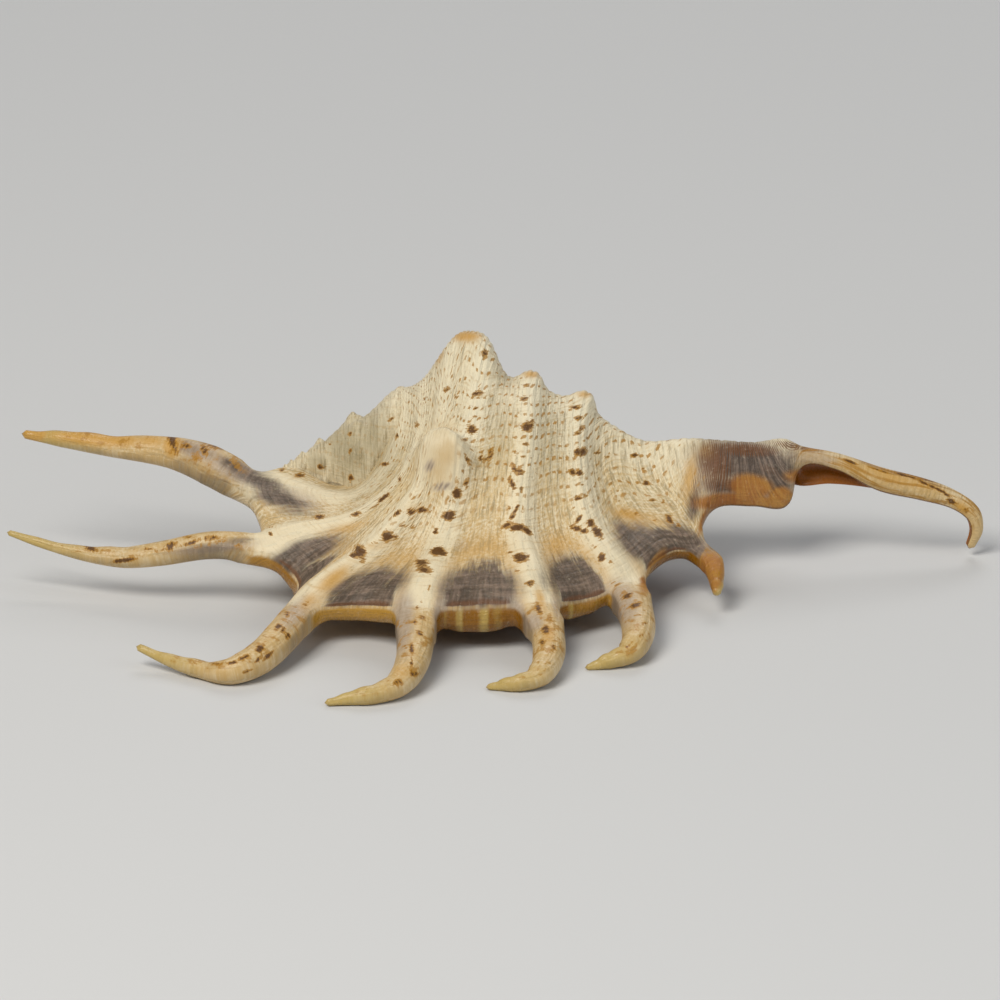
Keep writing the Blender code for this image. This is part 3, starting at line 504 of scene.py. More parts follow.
def ring_parameters(settings):
    """Places round the ring of rails, in equal steps between two rails."""
    front, back = settings.front_steps, settings.back_steps
    inner = (settings.inner_steps,) * (RIM_FOOT_AT - CALLUS_AT)
    rim = (settings.rim_steps,)
    return np.concatenate([
        span_steps((front, front, front, back, back)), span_steps(rim, BELLY_AT),
        span_steps(inner, CALLUS_AT), span_steps(rim, RIM_FOOT_AT),
    ])


def whorl_fields(cc, tt, growth, ribs, lip_side):
    """The fields that colour the last whorl, from places along the shell and round the ring: how far
    it is inside, on the rim, on a finger's ridge, in the violet band between two, and so on."""
    whole = np.ones(growth.shape)
    between = np.abs((cc + 1) / 2 - np.round((cc + 1) / 2)) * 2
    band = (1 - soft_step(tt, 0, 1.35)) * soft_step(between, 0, 0.75) * window(cc, 3, 4.4, 12.6, 14)
    amber = window(cc, 6.8, 7.3, 10.3, 10.9) * (1 - 0.5 * soft_step(cc, 9.2, 9.9)) + soft_step(cc, 11.3, 11.9)
    amber = amber + 0.6 * window(cc, 3, 3.5, 4.4, 5)
    crown = (1 - soft_step(between, 0.12, 0.62)) * (1 - soft_step(tt, 2.9, 3.4)) * (1 - soft_step(cc, 11.6, 12.2))
    # A thin line along the lip's edge, for the brown line there, darkened as painted shade of the crease where the
    # rim turns under
    from_edge = np.minimum(tt, RING_END - tt)
    edge = np.exp(-(from_edge / 0.05) ** 2) * soft_step(between, 0.25, 0.6) * window(cc, 3, 3.6, 12.5, 13.5)
    return {
        "cord": CORDS_PER_STATION * cc * whole,
        "growth": growth,
        "inside": window(tt, 5.2, 6, 10.1, 11.3) * whole,
        "rim": window(tt, 10.1, 10.9, 11.7, 11.98) * whole,
        "outer": ((tt < 3.6) | (tt > 10.8)) * whole,
        "finger": 0 * whole,
        "wall": np.minimum(tt, BELLY_AT) * (tt < RIM_FOOT_AT) * whole,
        "band": band * (tt < CALLUS_AT),
        "gilt": soft_step(cc, 2.4, 3.2) * whole,
        "crown": crown * (tt < 5.5),
        "amber": amber * whole,
        "rib": ribs / 0.7 * lip_side,
        "soft": lip_side * (1 - soft_step(cc, 12.6, 13.4)) * 0.6,
        "calm": 0 * whole,
        "edge": edge,
    }


def last_whorl(settings):
    """The last whorl and canal as a grid, columns by ring, with the fields that colour it: smooth
    curves through the rails along the shell, then through their points round each column, moved out
    along the normals by the knobs, ridges, cords and ribs."""
    t = ring_parameters(settings)
    c = column_parameters(len(CREST) - 1, len(CANAL_PATH), settings.station_columns, settings.canal_columns)
    columns = smooth_chain(stations(), c)
    grid = smooth_chain(columns.transpose(1, 0, 2), t, closed=True).transpose(1, 0, 2)
    outward = unit(np.cross(np.gradient(grid, axis=0), np.roll(grid, -1, 1) - np.roll(grid, 1, 1)))
    step = np.linalg.norm(np.diff(grid, axis=1, append=grid[:, :1]), axis=-1)
    growth = np.concatenate([np.zeros((len(c), 1)), np.cumsum(step, 1)[:, :-1]], 1)
    cc, tt = c[:, None], t[None, :]
    grid = grid + relief(grid, outward, c, t) * settings.relief
    grid = grid + outward * cord_relief(cc, tt, settings.cord_height)[..., None]
    places, heights = np.array(RIM_RIBS).T
    ribs = (heights * np.exp(-((cc[..., None] - places) / RIM_RIB_REACH) ** 2)).sum(-1)
    lip_side = np.clip(soft_step(tt, 10.4, RIM_FOOT_AT) + 1 - soft_step(tt, 0, 0.25), 0, 1)
    grid = grid + outward * (ribs * lip_side)[..., None]
    growth = np.where(tt > BELLY_AT + 0.5, growth[:, -1:] - growth, growth)
    return grid, whorl_fields(cc, tt, growth, ribs, lip_side), c, t


def finger(points, ring, path, rows):
    """Rows of a finger: its root ring is carried along the path, and a soft step of the millimetres
    gone turns it into circles that taper. Sums of sines make the worn end uneven. Also gives the tip,
    how far along each row lies, in millimetres, and how high each place is on the circle."""
    root = points[ring]
    middle = root.mean(0)
    line = np.vstack([np.append(middle, path[0][3]), np.array(path)])
    s = np.linspace(0, len(line) - 1, rows + 1)
    mids = smooth_chain(line[:, :3], s)
    even_radius = np.interp(s, np.arange(len(line)), line[:, 3])
    worn = soft_step(s / s[-1], 0.3, 0.7)
    waver = FINGER_WAVER * (np.sin(3.1 * s + path[0][0]) + 0.6 * np.sin(7.3 * s + path[0][1]))
    radius = even_radius * (1 + (waver - TIP_THINNING) * worn)
    mids[:, 2] -= even_radius - radius
    run = unit(np.gradient(mids, axis=0))
    side = unit(np.cross(run, [0.0, 0.0, 1.0]))
    up = np.cross(side, run)
    offset = root - middle
    across, above = offset @ side[0], offset @ up[0]
    angle = np.unwrap(np.arctan2(above, across))
    turn = np.sign(angle[-1] - angle[0])
    even = angle.mean() + turn * 2 * np.pi * (np.arange(len(ring)) / len(ring) - 0.5 + 0.5 / len(ring))
    gone = np.concatenate([[0], np.cumsum(np.linalg.norm(np.diff(mids, axis=0), axis=1))])
    w = soft_step(gone, 0, ROOT_BLEND_MM)[:, None]
    lumps = 0.6 * FINGER_WAVER * np.sin(3 * even + 1.7 * s[:, None]) * worn[:, None]
    circle = radius[:, None] * (1 + lumps)
    x = (1 - w) * across + w * circle * np.cos(even)
    z = (1 - w) * above + w * circle * np.sin(even)
    placed = mids[:, None] + x[..., None] * side[:, None] + z[..., None] * up[:, None]
    return placed[1:], mids[-1] + run[-1] * radius[-1], gone[1:], np.sin(even)


def root_ring(number, first, last, rim_first):
    """Vertex numbers round the opening that a finger leaves in the lip's rim."""
    return np.concatenate([
        number[first:last, 0],
        number[last, 0:1], number[last, :rim_first:-1],
        number[last:first:-1, rim_first],
        number[first, rim_first:],
    ])


def finger_fields(roots, gone, high):
    """Fields on a finger's rows, from those on its root ring. The growth lines run on and lose the
    root's own shape, the crown turns into the finger's upper side, and the lip's fields fade."""
    away = gone[:, None]
    whole = np.ones((len(gone), len(high)))
    own = {
        "finger": away / gone[-1] * whole,
        "soft": (1 - soft_step(away, ROOT_SOFT_MM, 2.5 * ROOT_SOFT_MM)) * whole,
        "outer": whole,
    }
    near = np.exp(-away / CROWN_FADE_MM)
    fields = {}
    for key, root in roots.items():
        value = own.get(key, root * whole)
        if key == "growth":
            value = value * np.exp(-away / GROWTH_FADE_MM) - away
        elif key == "crown":
            value = value * near + np.clip(high, 0, 1) * (1 - near)
        elif key in FADING_FIELDS:
            value = value * (1 - soft_step(away, 0, FIELD_FADE_MM))
        fields[key] = value
    return fields


def shell_surface(settings):
    """Vertices, faces and fields of the last whorl, canal and fingers as one closed surface. The
    fingers' roots are cut out of the lip's rim, the first ring is closed by a strip between its
    walls, and the canal's end by a cap."""
    grid, fields, c, t = last_whorl(settings)
    n_columns, n_ring = grid.shape[:2]
    flat = grid.reshape(-1, 3)
    number = np.arange(n_columns * n_ring).reshape(n_columns, n_ring)
    rim_first = n_ring - settings.rim_steps
    keep = np.ones((n_columns - 1, n_ring), bool)
    points, extra, values = [flat], [], {k: [v.reshape(-1)] for k, v in fields.items()}
    count = len(flat)
    for station, path in FINGERS.values():
        first = np.argmin(np.abs(c - (station - HALF_ROOT_STATIONS)))
        last = np.argmin(np.abs(c - (station + HALF_ROOT_STATIONS)))
        keep[first:last, rim_first:] = False
        ring = root_ring(number, first, last, rim_first)
        rows, tip, gone, high = finger(flat, ring, path, settings.finger_rows)
        made = count + np.arange(rows.shape[0] * rows.shape[1]).reshape(rows.shape[:2])
        end = made[-1]
        tips = np.full(len(end), count + made.size)
        extra += [tube_faces(np.vstack([ring[None], made])), quads(end, tips, tips, np.roll(end, -1))]
        points += [rows.reshape(-1, 3), tip[None]]
        around = slice(first - 4, last + 5)
        reach = np.linalg.norm(grid[around, :, None] - flat[ring[::3]], axis=-1).min(-1)
        near = 1 - soft_step(reach, ROOT_SOFT_MM, 2.2 * ROOT_SOFT_MM)
        fields["soft"][around] = np.maximum(fields["soft"][around], near)
        fields["outer"].reshape(-1)[ring] = 1
        roots = {key: fields[key].ravel()[ring] for key in values}
        for key, value in finger_fields(roots, gone, high).items():
            values[key] += [value.ravel(), value[-1].mean()[None]]
        count += made.size + 1
    walls = np.concatenate([np.flatnonzero(t >= RIM_FOOT_AT + 0.5), np.flatnonzero(t <= BELLY_AT + 0.5)])
    outer_place = np.where(t[walls] > CALLUS_AT, t[walls] - RING_END, t[walls])
    partner = np.abs(t[None, :] - RIM_FOOT_AT + outer_place[:, None]).argmin(1)
    extra.append(quads(walls[:-1], walls[1:], partner[1:], partner[:-1]))
    middle = grid[-1].mean(0)
    points.append((middle + unit(middle - grid[-2].mean(0)) * CANAL_CAP_MM)[None])
    for key in values:
        values[key].append(fields[key][-1].mean()[None])
    far = number[-1]
    tips = np.full(n_ring, count)
    kept = tube_faces(number).reshape(n_columns - 1, n_ring, 4)[keep]
    faces = np.vstack([kept, *extra, quads(far, tips, tips, np.roll(far, -1))])
    return np.vstack(points), faces, {k: np.concatenate(v) for k, v in values.items()}


def spire_surface(settings):
    """A cone of whorls round the axis. Its radius is the way gone from the apex times the slope, times
    1 plus a rise from each suture to the shoulder with lumps on it. It hugs and shrinks into the last
    whorl where that covers it."""
    x = APEX_X + (SPIRE_END_X - APEX_X) * np.linspace(0.01, 1, settings.spire_rings)[:, None] ** 1.2
    turn = np.arange(settings.spire_sides)[None, :] / settings.spire_sides
    gone = x - APEX_X
    whorl = np.interp(gone, SUTURES, np.arange(len(SUTURES))) + turn
    place = whorl - np.floor(whorl)
    rise = WHORL_STEP * (np.minimum(place / SHOULDER, (1 - place) / (1 - SHOULDER)) ** 1.2 - 0.45)
    lumps = SPIRE_LUMP * np.exp(-((place - SHOULDER) / SPIRE_LUMP_REACH) ** 2)
    lumps = lumps * np.cos(2 * np.pi * SPIRE_LUMPS_PER_TURN * turn)
    edge = np.interp(360 * turn, *np.array(COVERED).T)
    hugged = np.clip((x - edge) / COVERED_HUG + 1, 0, 1)
    inside = np.clip((x - edge - COVERED_HUG) / COVERED_FADE, 0, 1)
    swell = (rise + lumps) * (1 - hugged) + COVERED_SWELL * hugged
    radius = gone * SPIRE_SLOPE * (1 + swell) * (1 - COVERED_SHRINK * inside)
    radius = radius + SPIRE_THREAD * np.sin(gone * 7) * (1 - inside)
    angle = 2 * np.pi * turn
    grid = np.stack([x + 0 * radius, AXIS_Y - radius * np.cos(angle), AXIS_Z + radius * np.sin(angle)], -1)
    number = np.arange(grid.shape[0] * grid.shape[1]).reshape(grid.shape[:2])
    glazed = soft_step(x, *GLAZE_FROM_X) * soft_step(np.cos(angle - GLAZE_MIDDLE), *GLAZE_FROM_COS)
    whole = np.ones(radius.shape)
    fields = dict.fromkeys(("rim", "finger", "band", "gilt", "crown", "amber", "rib", "soft", "edge"), 0 * whole)
    fields.update(cord=gone * SPIRE_CORDS_PER_MM * whole, growth=angle * radius, inside=glazed,
                  outer=whole, wall=SPIRE_WALL * whole, calm=whole)
    tip = np.array([[APEX_X, AXIS_Y, AXIS_Z]])
    apex = np.full(grid.shape[1], number.size)
    faces = np.vstack([tube_faces(number), quads(number[0], np.roll(number[0], -1), apex, apex)])
    fields = {k: np.append(v.ravel(), v[0].mean()) for k, v in fields.items()}
    return np.vstack([grid.reshape(-1, 3), tip]), faces, fields


def seen(points):
    """Where points lie in the picture, in pixels across and down."""
    level = points[:, 1] * math.sin(SEEN_TILT) + points[:, 2] * math.cos(SEEN_TILT)
    return SEEN_CENTRE_PX + points[:, 0] / SEEN_MM_PER_PX, SEEN_CENTRE_PX - (level - SEEN_LEVEL) / SEEN_MM_PER_PX


def patches(across, down, listed):
    """A soft field in the picture's plane: at each point the strongest of turned bell curves,
    each its strength times e to the minus (u / half width) squared and (v / half height) squared."""
    field = np.zeros(len(across))
    for x, y, wide, high, *rest in listed:
        strength, turned = (*rest, *PATCH_DEFAULTS[len(rest):])
        a = math.radians(turned)
        u = (across - x) * math.cos(a) - (down - y) * math.sin(a)
        v = (across - x) * math.sin(a) + (down - y) * math.cos(a)
        field = np.maximum(field, strength * np.exp(-((u / wide) ** 2 + (v / high) ** 2)))
    return field


def vertex_normals(points, faces):
    """Each vertex's normal: the mean of the crossed diagonals of its faces."""
    p = points[faces]
    crossed = np.cross(p[:, 2] - p[:, 0], p[:, 3] - p[:, 1])
    total = np.zeros_like(points)
    for k in range(4):
        np.add.at(total, faces[:, k], crossed)
    return unit(total)


def add_piece(name, points, faces, fields, material):
    """An object at the origin from points in millimetres, with its fields as attributes. A face that
    names a vertex twice becomes a triangle, and one that has shrunk to a line is left out."""
    listed = [f for f in (tuple(dict.fromkeys(f)) for f in faces.tolist()) if len(f) > 2]
    mesh = bpy.data.meshes.new(name)
    mesh.from_pydata(((points - ORIGIN) * MM).tolist(), [], listed)
    mesh.shade_smooth()
    for key, value in fields.items():
        attribute = mesh.attributes.new(key, "FLOAT", "POINT")
        attribute.data.foreach_set("value", np.asarray(value, np.float32))
    mesh.materials.append(material)
    obj = bpy.data.objects.new(name, mesh)
    bpy.context.scene.collection.objects.link(obj)
    if fields["soft"].any():
        soften_roots(obj, fields["soft"])
    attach(obj, "root")
    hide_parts("shell")
    return obj


def soften_roots(obj, soft):
    """Rounds the places where the fingers leave the lip, with a smoothing weighted by a field in
    steps of a tenth."""
    group = obj.vertex_groups.new(name="roots")
    for level in np.arange(1, 11) / 10:
        chosen = np.flatnonzero(np.abs(soft - level) <= 0.05)
        group.add(chosen.tolist(), float(level), "REPLACE")
    modifier = obj.modifiers.new("soft roots", "SMOOTH")
    modifier.factor = 0.5
    modifier.iterations = 40
    modifier.vertex_group = "roots"


def marked_fields(points, faces, fields):
    """Adds the fields of the marks and patches, which only reach outer walls that face the picture.
    That reach grows over the faces next to it: each round takes the larger of a vertex's own value
    and the mean over its faces."""
    across, down = seen(points)
    facing = vertex_normals(points, faces) @ TOWARD_EYE
    shown = soft_step(facing, -0.25, 0.15) * fields["outer"]
    corners = faces.ravel()
    for _ in range(SHOWN_ROUNDS):
        mean = np.bincount(corners, np.repeat(shown[faces].mean(1), 4)) / np.bincount(corners)
        shown = np.maximum(shown, mean)
    for name, listed in PATCHES.items():
        fields[name] = patches(across, down, listed) * shown
    fields["shown"] = shown
    return fields


def maths_operator(operation, swapped=False):
    """A Python operator of wires that adds a Math node, with its two sides swapped or not."""
    def method(wire, other):
        return wire.shader.maths(operation, *((other, wire) if swapped else (wire, other)))
    return method


class Wire:
    """A shader socket that can be used in Python sums."""

    __add__ = maths_operator("ADD")
    __radd__ = maths_operator("ADD", swapped=True)
    __sub__ = maths_operator("SUBTRACT")
    __rsub__ = maths_operator("SUBTRACT", swapped=True)
    __mul__ = maths_operator("MULTIPLY")

    def __init__(self, shader, socket):
        self.shader = shader
        self.socket = socket

    def rise(self, low, high):
        """0 below low, 1 above high, and a smooth rise between them."""
        return self.shader.node("ShaderNodeMapRange", {"interpolation_type": "SMOOTHSTEP"},
                                {"Value": self, "From Min": low, "From Max": high})


class Shader:
    """A material with a Principled surface, short ways to add nodes to it, and the colour so far."""

    def __init__(self, name):
        self.material = bpy.data.materials.new(name)
        self.material.use_nodes = True
        self.tree = self.material.node_tree
        self.surface = self.tree.nodes["Principled BSDF"]
        self.colour = None

    def give(self, socket, value):
        """Links a wire to a socket, or sets the socket's own value."""
        if isinstance(value, Wire):
            self.tree.links.new(value.socket, socket)
        else:
            socket.default_value = value

    def node(self, kind, settings=None, inputs=None, output=0):
        """Adds a node with settings and inputs, and returns one of its outputs."""
        node = self.tree.nodes.new(kind)
        for key, value in (settings or {}).items():
            setattr(node, key, value)
        for key, value in (inputs or {}).items():
            self.give(node.inputs[key], value)
        return Wire(self, node.outputs[output])

    def maths(self, operation, a, b=0.0):
        """A Math node on two values."""
        return self.node("ShaderNodeMath", {"operation": operation}, {0: a, 1: b})

    def larger(self, a, b):
        """The larger of two values."""
        return self.maths("MAXIMUM", a, b)

    def wave(self, value):
        """The sine of a value."""
        return self.maths("SINE", value)

    def field(self, name):
        """A field of the mesh."""
        return self.node("ShaderNodeAttribute", {"attribute_name": name}, output="Fac")

    def noise(self, where, detail=2.0, roughness=0.5, scale=1.0):
        """Cloudy noise between 0 and 1, at a vector or at three values."""
        if isinstance(where, tuple):
            where = self.node("ShaderNodeCombineXYZ", None, dict(zip("XYZ", where)))
        return self.node("ShaderNodeTexNoise", None,
                         {"Vector": where, "Scale": scale, "Detail": detail, "Roughness": roughness}, "Fac")

    def blend(self, a, b, share):
        """Colour a turned into colour b by share. Each is a wire or a colour property."""
        a, b = (colour if isinstance(colour, Wire) else (*colour, 1.0) for colour in (a, b))
        return self.node("ShaderNodeMix", {"data_type": "RGBA"}, {0: share, 6: a, 7: b}, 2)

    def lay(self, colour, share):
        """Turns the colour so far into another by share."""
        self.colour = self.blend(self.colour, colour, share)


def shell_material(colours):
    """Cream shell with cords, growth lines, warm and violet patches and brown marks, glazed orange
    inside. Cord counts the cords along the shell and growth the millimetres along a growth line, so
    noise over the two follows both. Each layer turns the colour so far into the next by its share."""
    s = Shader("shell")
    cord, growth, wall = s.field("cord"), s.field("growth"), s.field("wall")
    inside, rim, length = s.field("inside"), s.field("rim"), s.field("finger")
    crown, shown = s.field("crown"), s.field("shown")
    place = s.node("ShaderNodeTexCoord", output="Object")
    cloud = s.noise(place, 4.0, 0.6, CLOUD_SCALE)
    blotch = s.noise(place, 4.0, 0.65, BLOTCH_SCALE)
    grain = s.noise(place, 3.0, 0.6, GRAIN_SCALE)
    bands = s.noise((cord * 1.1, growth * 0.05, 1.0))
    threads = s.noise((cord * 3.6, growth * 0.30, 3.0), 2.0, 0.55)
    rows = s.noise((cord * 0.22, growth * 1.3, 7.0), 3.0, 0.6)
    weave = s.noise((cord * 3.0, growth * 2.2, 5.0), 2.0, 0.6)
    lengthwise = s.noise((growth * 1.4, cord * 0.16, 43.0), 3.0, 0.6)
    limb = length.rise(0.02, 0.10)
    wobble = blotch - 0.5

    # The plain wall: cream, tan towards the lip, chalk towards the crest, grey and pale threads
    warm = (1.0 - wall.rise(0.6, 2.4)) * 0.6 + cloud * 0.55
    s.colour = s.blend(colours.cream, colours.tan, warm.rise(0.40, 1.05))
    chalky = wall.rise(1.4, 2.6) * 0.6 + weave * 0.4
    s.lay(colours.chalk, chalky.rise(0.35, 0.85) * (1.0 - limb) * 0.8)
    s.lay(colours.grey, bands.rise(0.50, 0.66) * (1.0 - crown * 0.6) * 0.35)
    s.lay(colours.grey, threads.rise(0.51, 0.66) * (1.0 - limb * 0.5) * 0.68)
    lift = weave * 0.6 + threads * -0.5 + crown * (1.0 - limb) * 0.22 + cloud * 0.42
    s.lay(colours.pale, lift.rise(0.14, 0.42) * (0.75 - limb * 0.35))
    s.lay(colours.tan, rows.rise(0.52, 0.70) * 0.40)
    # Painted shade on the spire where the last whorl overhangs it, and in the furrows
    s.lay(colours.painted_shade, s.field("painted_shade") * (0.5 + weave) * 0.75)
    s.lay(colours.tan, limb * blotch.rise(0.42, 0.62) * 0.5)
    dome = s.field("dome").rise(0.10, 1.05)
    s.lay(s.blend(colours.chalk, colours.tan, cloud.rise(0.30, 0.85)), dome * 0.85)

    # Violet grey with an ochre border between the fingers, in lines that fan out on the canal
    band = s.field("band") * (0.50 + cloud * 0.5 + threads * 0.5)
    s.lay(colours.ochre, (band.rise(0.05, 0.40) - band.rise(0.40, 0.75)) * (1.0 - threads * 0.5) * 0.5)
    on_canal = cord.rise(*CANAL_CORDS)
    off_canal = 1.0 - on_canal
    fan = cord + growth * (cord - FAN_CORD) * FAN_SPREAD
    fan_lines = s.noise((fan * 1.4, growth * 0.10, 37.0), 3.0, 0.6)
    mottle = (threads * 0.50 + rows * 0.55) * off_canal + fan_lines * 0.96 * on_canal + blotch * 0.35 + weave * 0.15
    shade = s.blend(colours.violet, colours.lilac, mottle.rise(0.66, 1.00))
    side = (1.0 - crown.rise(0.25, 0.85)) * limb * (1.0 - length.rise(0.25, 0.50)) * 0.5
    # The violet field is the shell's violet grey, and under the knob by the lip also painted shade
    violet = s.larger(s.larger(s.field("violet"), band.rise(0.35, 0.90)), side)
    feather = 0.40 + threads * 0.6 + weave * 0.4 + (cloud - 0.5) * 0.7 + (bands - 0.5) * 0.9 * off_canal
    violet = violet * feather - crown * 0.20 * (1.0 - limb)
    wash = s.field("lilac") * (0.55 + cloud * 0.5 + weave * 0.5)
    s.lay(s.blend(colours.lilac, colours.haze, mottle.rise(0.5, 0.9)), wash.rise(0.15, 0.85) * 0.72)
    s.lay(shade, violet.rise(0.08, 0.78) * 0.95)

    # The ends of the fingers and the canal, and the warm patches
    s.lay(colours.tip, length.rise(0.58, 0.95) * 0.80)
    s.lay(s.blend(colours.cream, colours.gold, 0.3), cord.rise(*HOOK_CORDS) * 0.95)
    on_rod = cord.rise(*ROD_CORDS) * (1.0 - cord.rise(84.0, 90.0))
    s.lay(colours.tan, on_rod * cloud.rise(0.20, 0.60) * 0.85)
    s.lay(colours.ochre, (s.field("ochre") * (0.6 + cloud * 0.9)).rise(0.08, 0.95) * 0.9)
    ember = s.field("ember") * (0.15 + cloud * 0.9 + fan_lines * 1.0)
    glow = s.blend(colours.deep_orange, colours.ochre, (cloud * 0.5 + fan_lines * 0.5).rise(0.38, 0.68) * 0.7)
    s.lay(glow, ember.rise(0.18, 0.62) * 0.93)
    stripe = (s.wave((fan + wobble * 0.5) * 11.0) * 0.5 + 0.5) * 0.6 + fan_lines * 0.6
    lengthways = s.larger(cord.rise(69.0, 72.0), limb)
    bark = s.field("bark") * (stripe * (1.0 - lengthways) + (lengthwise * 1.5 - 0.25) * lengthways)
    s.lay(colours.bark, bark.rise(0.22, 0.62) * 0.88)

    # Rows of dashes high on the wall, spots on the back, streaks on fingers and canal, and the marks
    row = s.wave(growth * 2.7 + wobble * 6.0 + cord * 0.3)
    dash = s.wave(cord * math.tau + wobble * 8.0 + cloud * 12.0)
    chosen = s.noise((cord * 0.30, growth * 0.30, 17.0))
    quiet = (1.0 - violet.rise(0.1, 0.4)) * wall.rise(0.7, 1.7) * (1.0 - limb)
    quiet = quiet * (1.0 - s.field("calm") * 0.75) * off_canal * (1.0 - dome)
    s.lay(colours.fringe, row.rise(0.55, 0.92) * dash.rise(-0.3, 0.5) * chosen.rise(0.36, 0.50) * quiet * 0.85)
    back_spots = s.noise((cord * 0.50, growth * 0.60, 41.0), 2.5, 0.60).rise(0.60, 0.66) * (1.0 - shown)
    s.lay(colours.fringe, back_spots * wall.rise(0.5, 1.0) * (1.0 - wall.rise(4.0, 4.8)) * 0.9)
    streak = s.noise((growth * 0.50, cord * 0.7, 31.0), 3.0, 0.65)
    marked_limb = limb * (1.0 - length.rise(0.75, 0.95)) * crown.rise(0.05, 0.5)
    s.lay(colours.fringe, streak.rise(0.53, 0.62) * marked_limb * 0.75)
    late_canal = cord.rise(68.0, 74.0) * (1.0 - cord.rise(92.0, 98.0))
    s.lay(colours.fringe, lengthwise.rise(0.50, 0.62) * late_canal * 0.8)
    torn = s.noise((cord * 1.5, growth * 2.4, 23.0), 3.0, 0.65)
    marks = s.field("marks") + (torn - 0.5) * 1.5 + wobble * 0.7 + (grain - 0.5) * 0.4
    s.lay(colours.fringe, marks.rise(0.38, 0.56) * 0.85)
    s.lay(colours.brown, marks.rise(0.62, 0.90) * 0.92)

    # The rim of the lip, the glaze inside, and a line of painted shade along the lip's edge
    lip = s.blend(colours.gold, colours.orange, (s.field("amber") + (cloud - 0.5) * 0.6).rise(0.2, 0.9))
    lip = s.blend(lip, colours.tip, (s.field("rib") + wobble * 0.6).rise(0.25, 0.95) * 0.75)
    glaze = s.blend(lip, colours.deep_orange, (inside + cloud * 0.4).rise(0.7, 1.3))
    s.lay(glaze, (inside + rim * s.field("gilt") + wobble * 0.4).rise(0.25, 0.75))
    # A thin brown line along the lip's edge, darkened as painted shade of the crease where the rim turns under
    s.lay(colours.bark, (s.field("edge") + wobble * 0.8).rise(0.45, 0.95) * 0.7)
    s.lay(colours.pale, grain.rise(0.58, 0.80) * (1.0 - inside) * 0.2)

    sockets = s.surface.inputs
    s.give(sockets["Base Color"], s.colour)
    glossy = (inside + rim + length * 0.7).rise(0.1, 1.0)
    s.give(sockets["Roughness"], 0.48 - glossy * 0.20 + (grain - 0.5) * 0.25)
    s.give(sockets["Coat Weight"], glossy * 0.35)
    sockets["Coat Roughness"].default_value = 0.15
    sockets["Specular IOR Level"].default_value = 0.35
    height = threads * 0.55 + rows * 0.60 + weave * 0.30 + grain * 0.08
    height = height * (1.0 - inside * 0.9) * (1.0 - dome * 0.8)
    s.give(sockets["Normal"], s.node(
        "ShaderNodeBump", None, {"Strength": BUMP_STRENGTH, "Distance": BUMP_DISTANCE, "Height": height}))
    return s.material


# What all the colour properties share
COLOUR = {"subtype": "COLOR", "min": 0, "max": 1}


class ShapeSettings(bpy.types.PropertyGroup):
    """How finely the shell is drawn and how high its relief stands."""

    station_columns: IntProperty(
        name="Columns per station", description="Grid columns between two rails' points on the last whorl",
        default=16, min=4)
    canal_columns: IntProperty(
        name="Canal columns", description="Grid columns between two points of the canal", default=10, min=2)
    front_steps: IntProperty(
        name="Front steps", description="Grid steps between two rails on the lip's side", default=28, min=4)
    back_steps: IntProperty(
        name="Back steps", description="Grid steps between two rails on the back", default=22, min=4)
    inner_steps: IntProperty(
        name="Inner steps", description="Grid steps between two rails inside", default=10, min=3)
    rim_steps: IntProperty(
        name="Rim steps", description="Grid steps across the lip's rim", default=6, min=2)
    finger_rows: IntProperty(
        name="Finger rows", description="Rows along each finger", default=60, min=8)
    spire_rings: IntProperty(
        name="Spire rings", description="Rings along the spire", default=130, min=8)
    spire_sides: IntProperty(
        name="Spire sides", description="Sides of each ring of the spire", default=150, min=8)
    relief: FloatProperty(
        name="Relief", description="Share of the knobs' and ridges' full height",
        default=1.0, min=0, subtype="FACTOR")
    cord_height: FloatProperty(
        name="Cord height", description="Height of the fine cords, in millimetres", default=0.22, min=0)


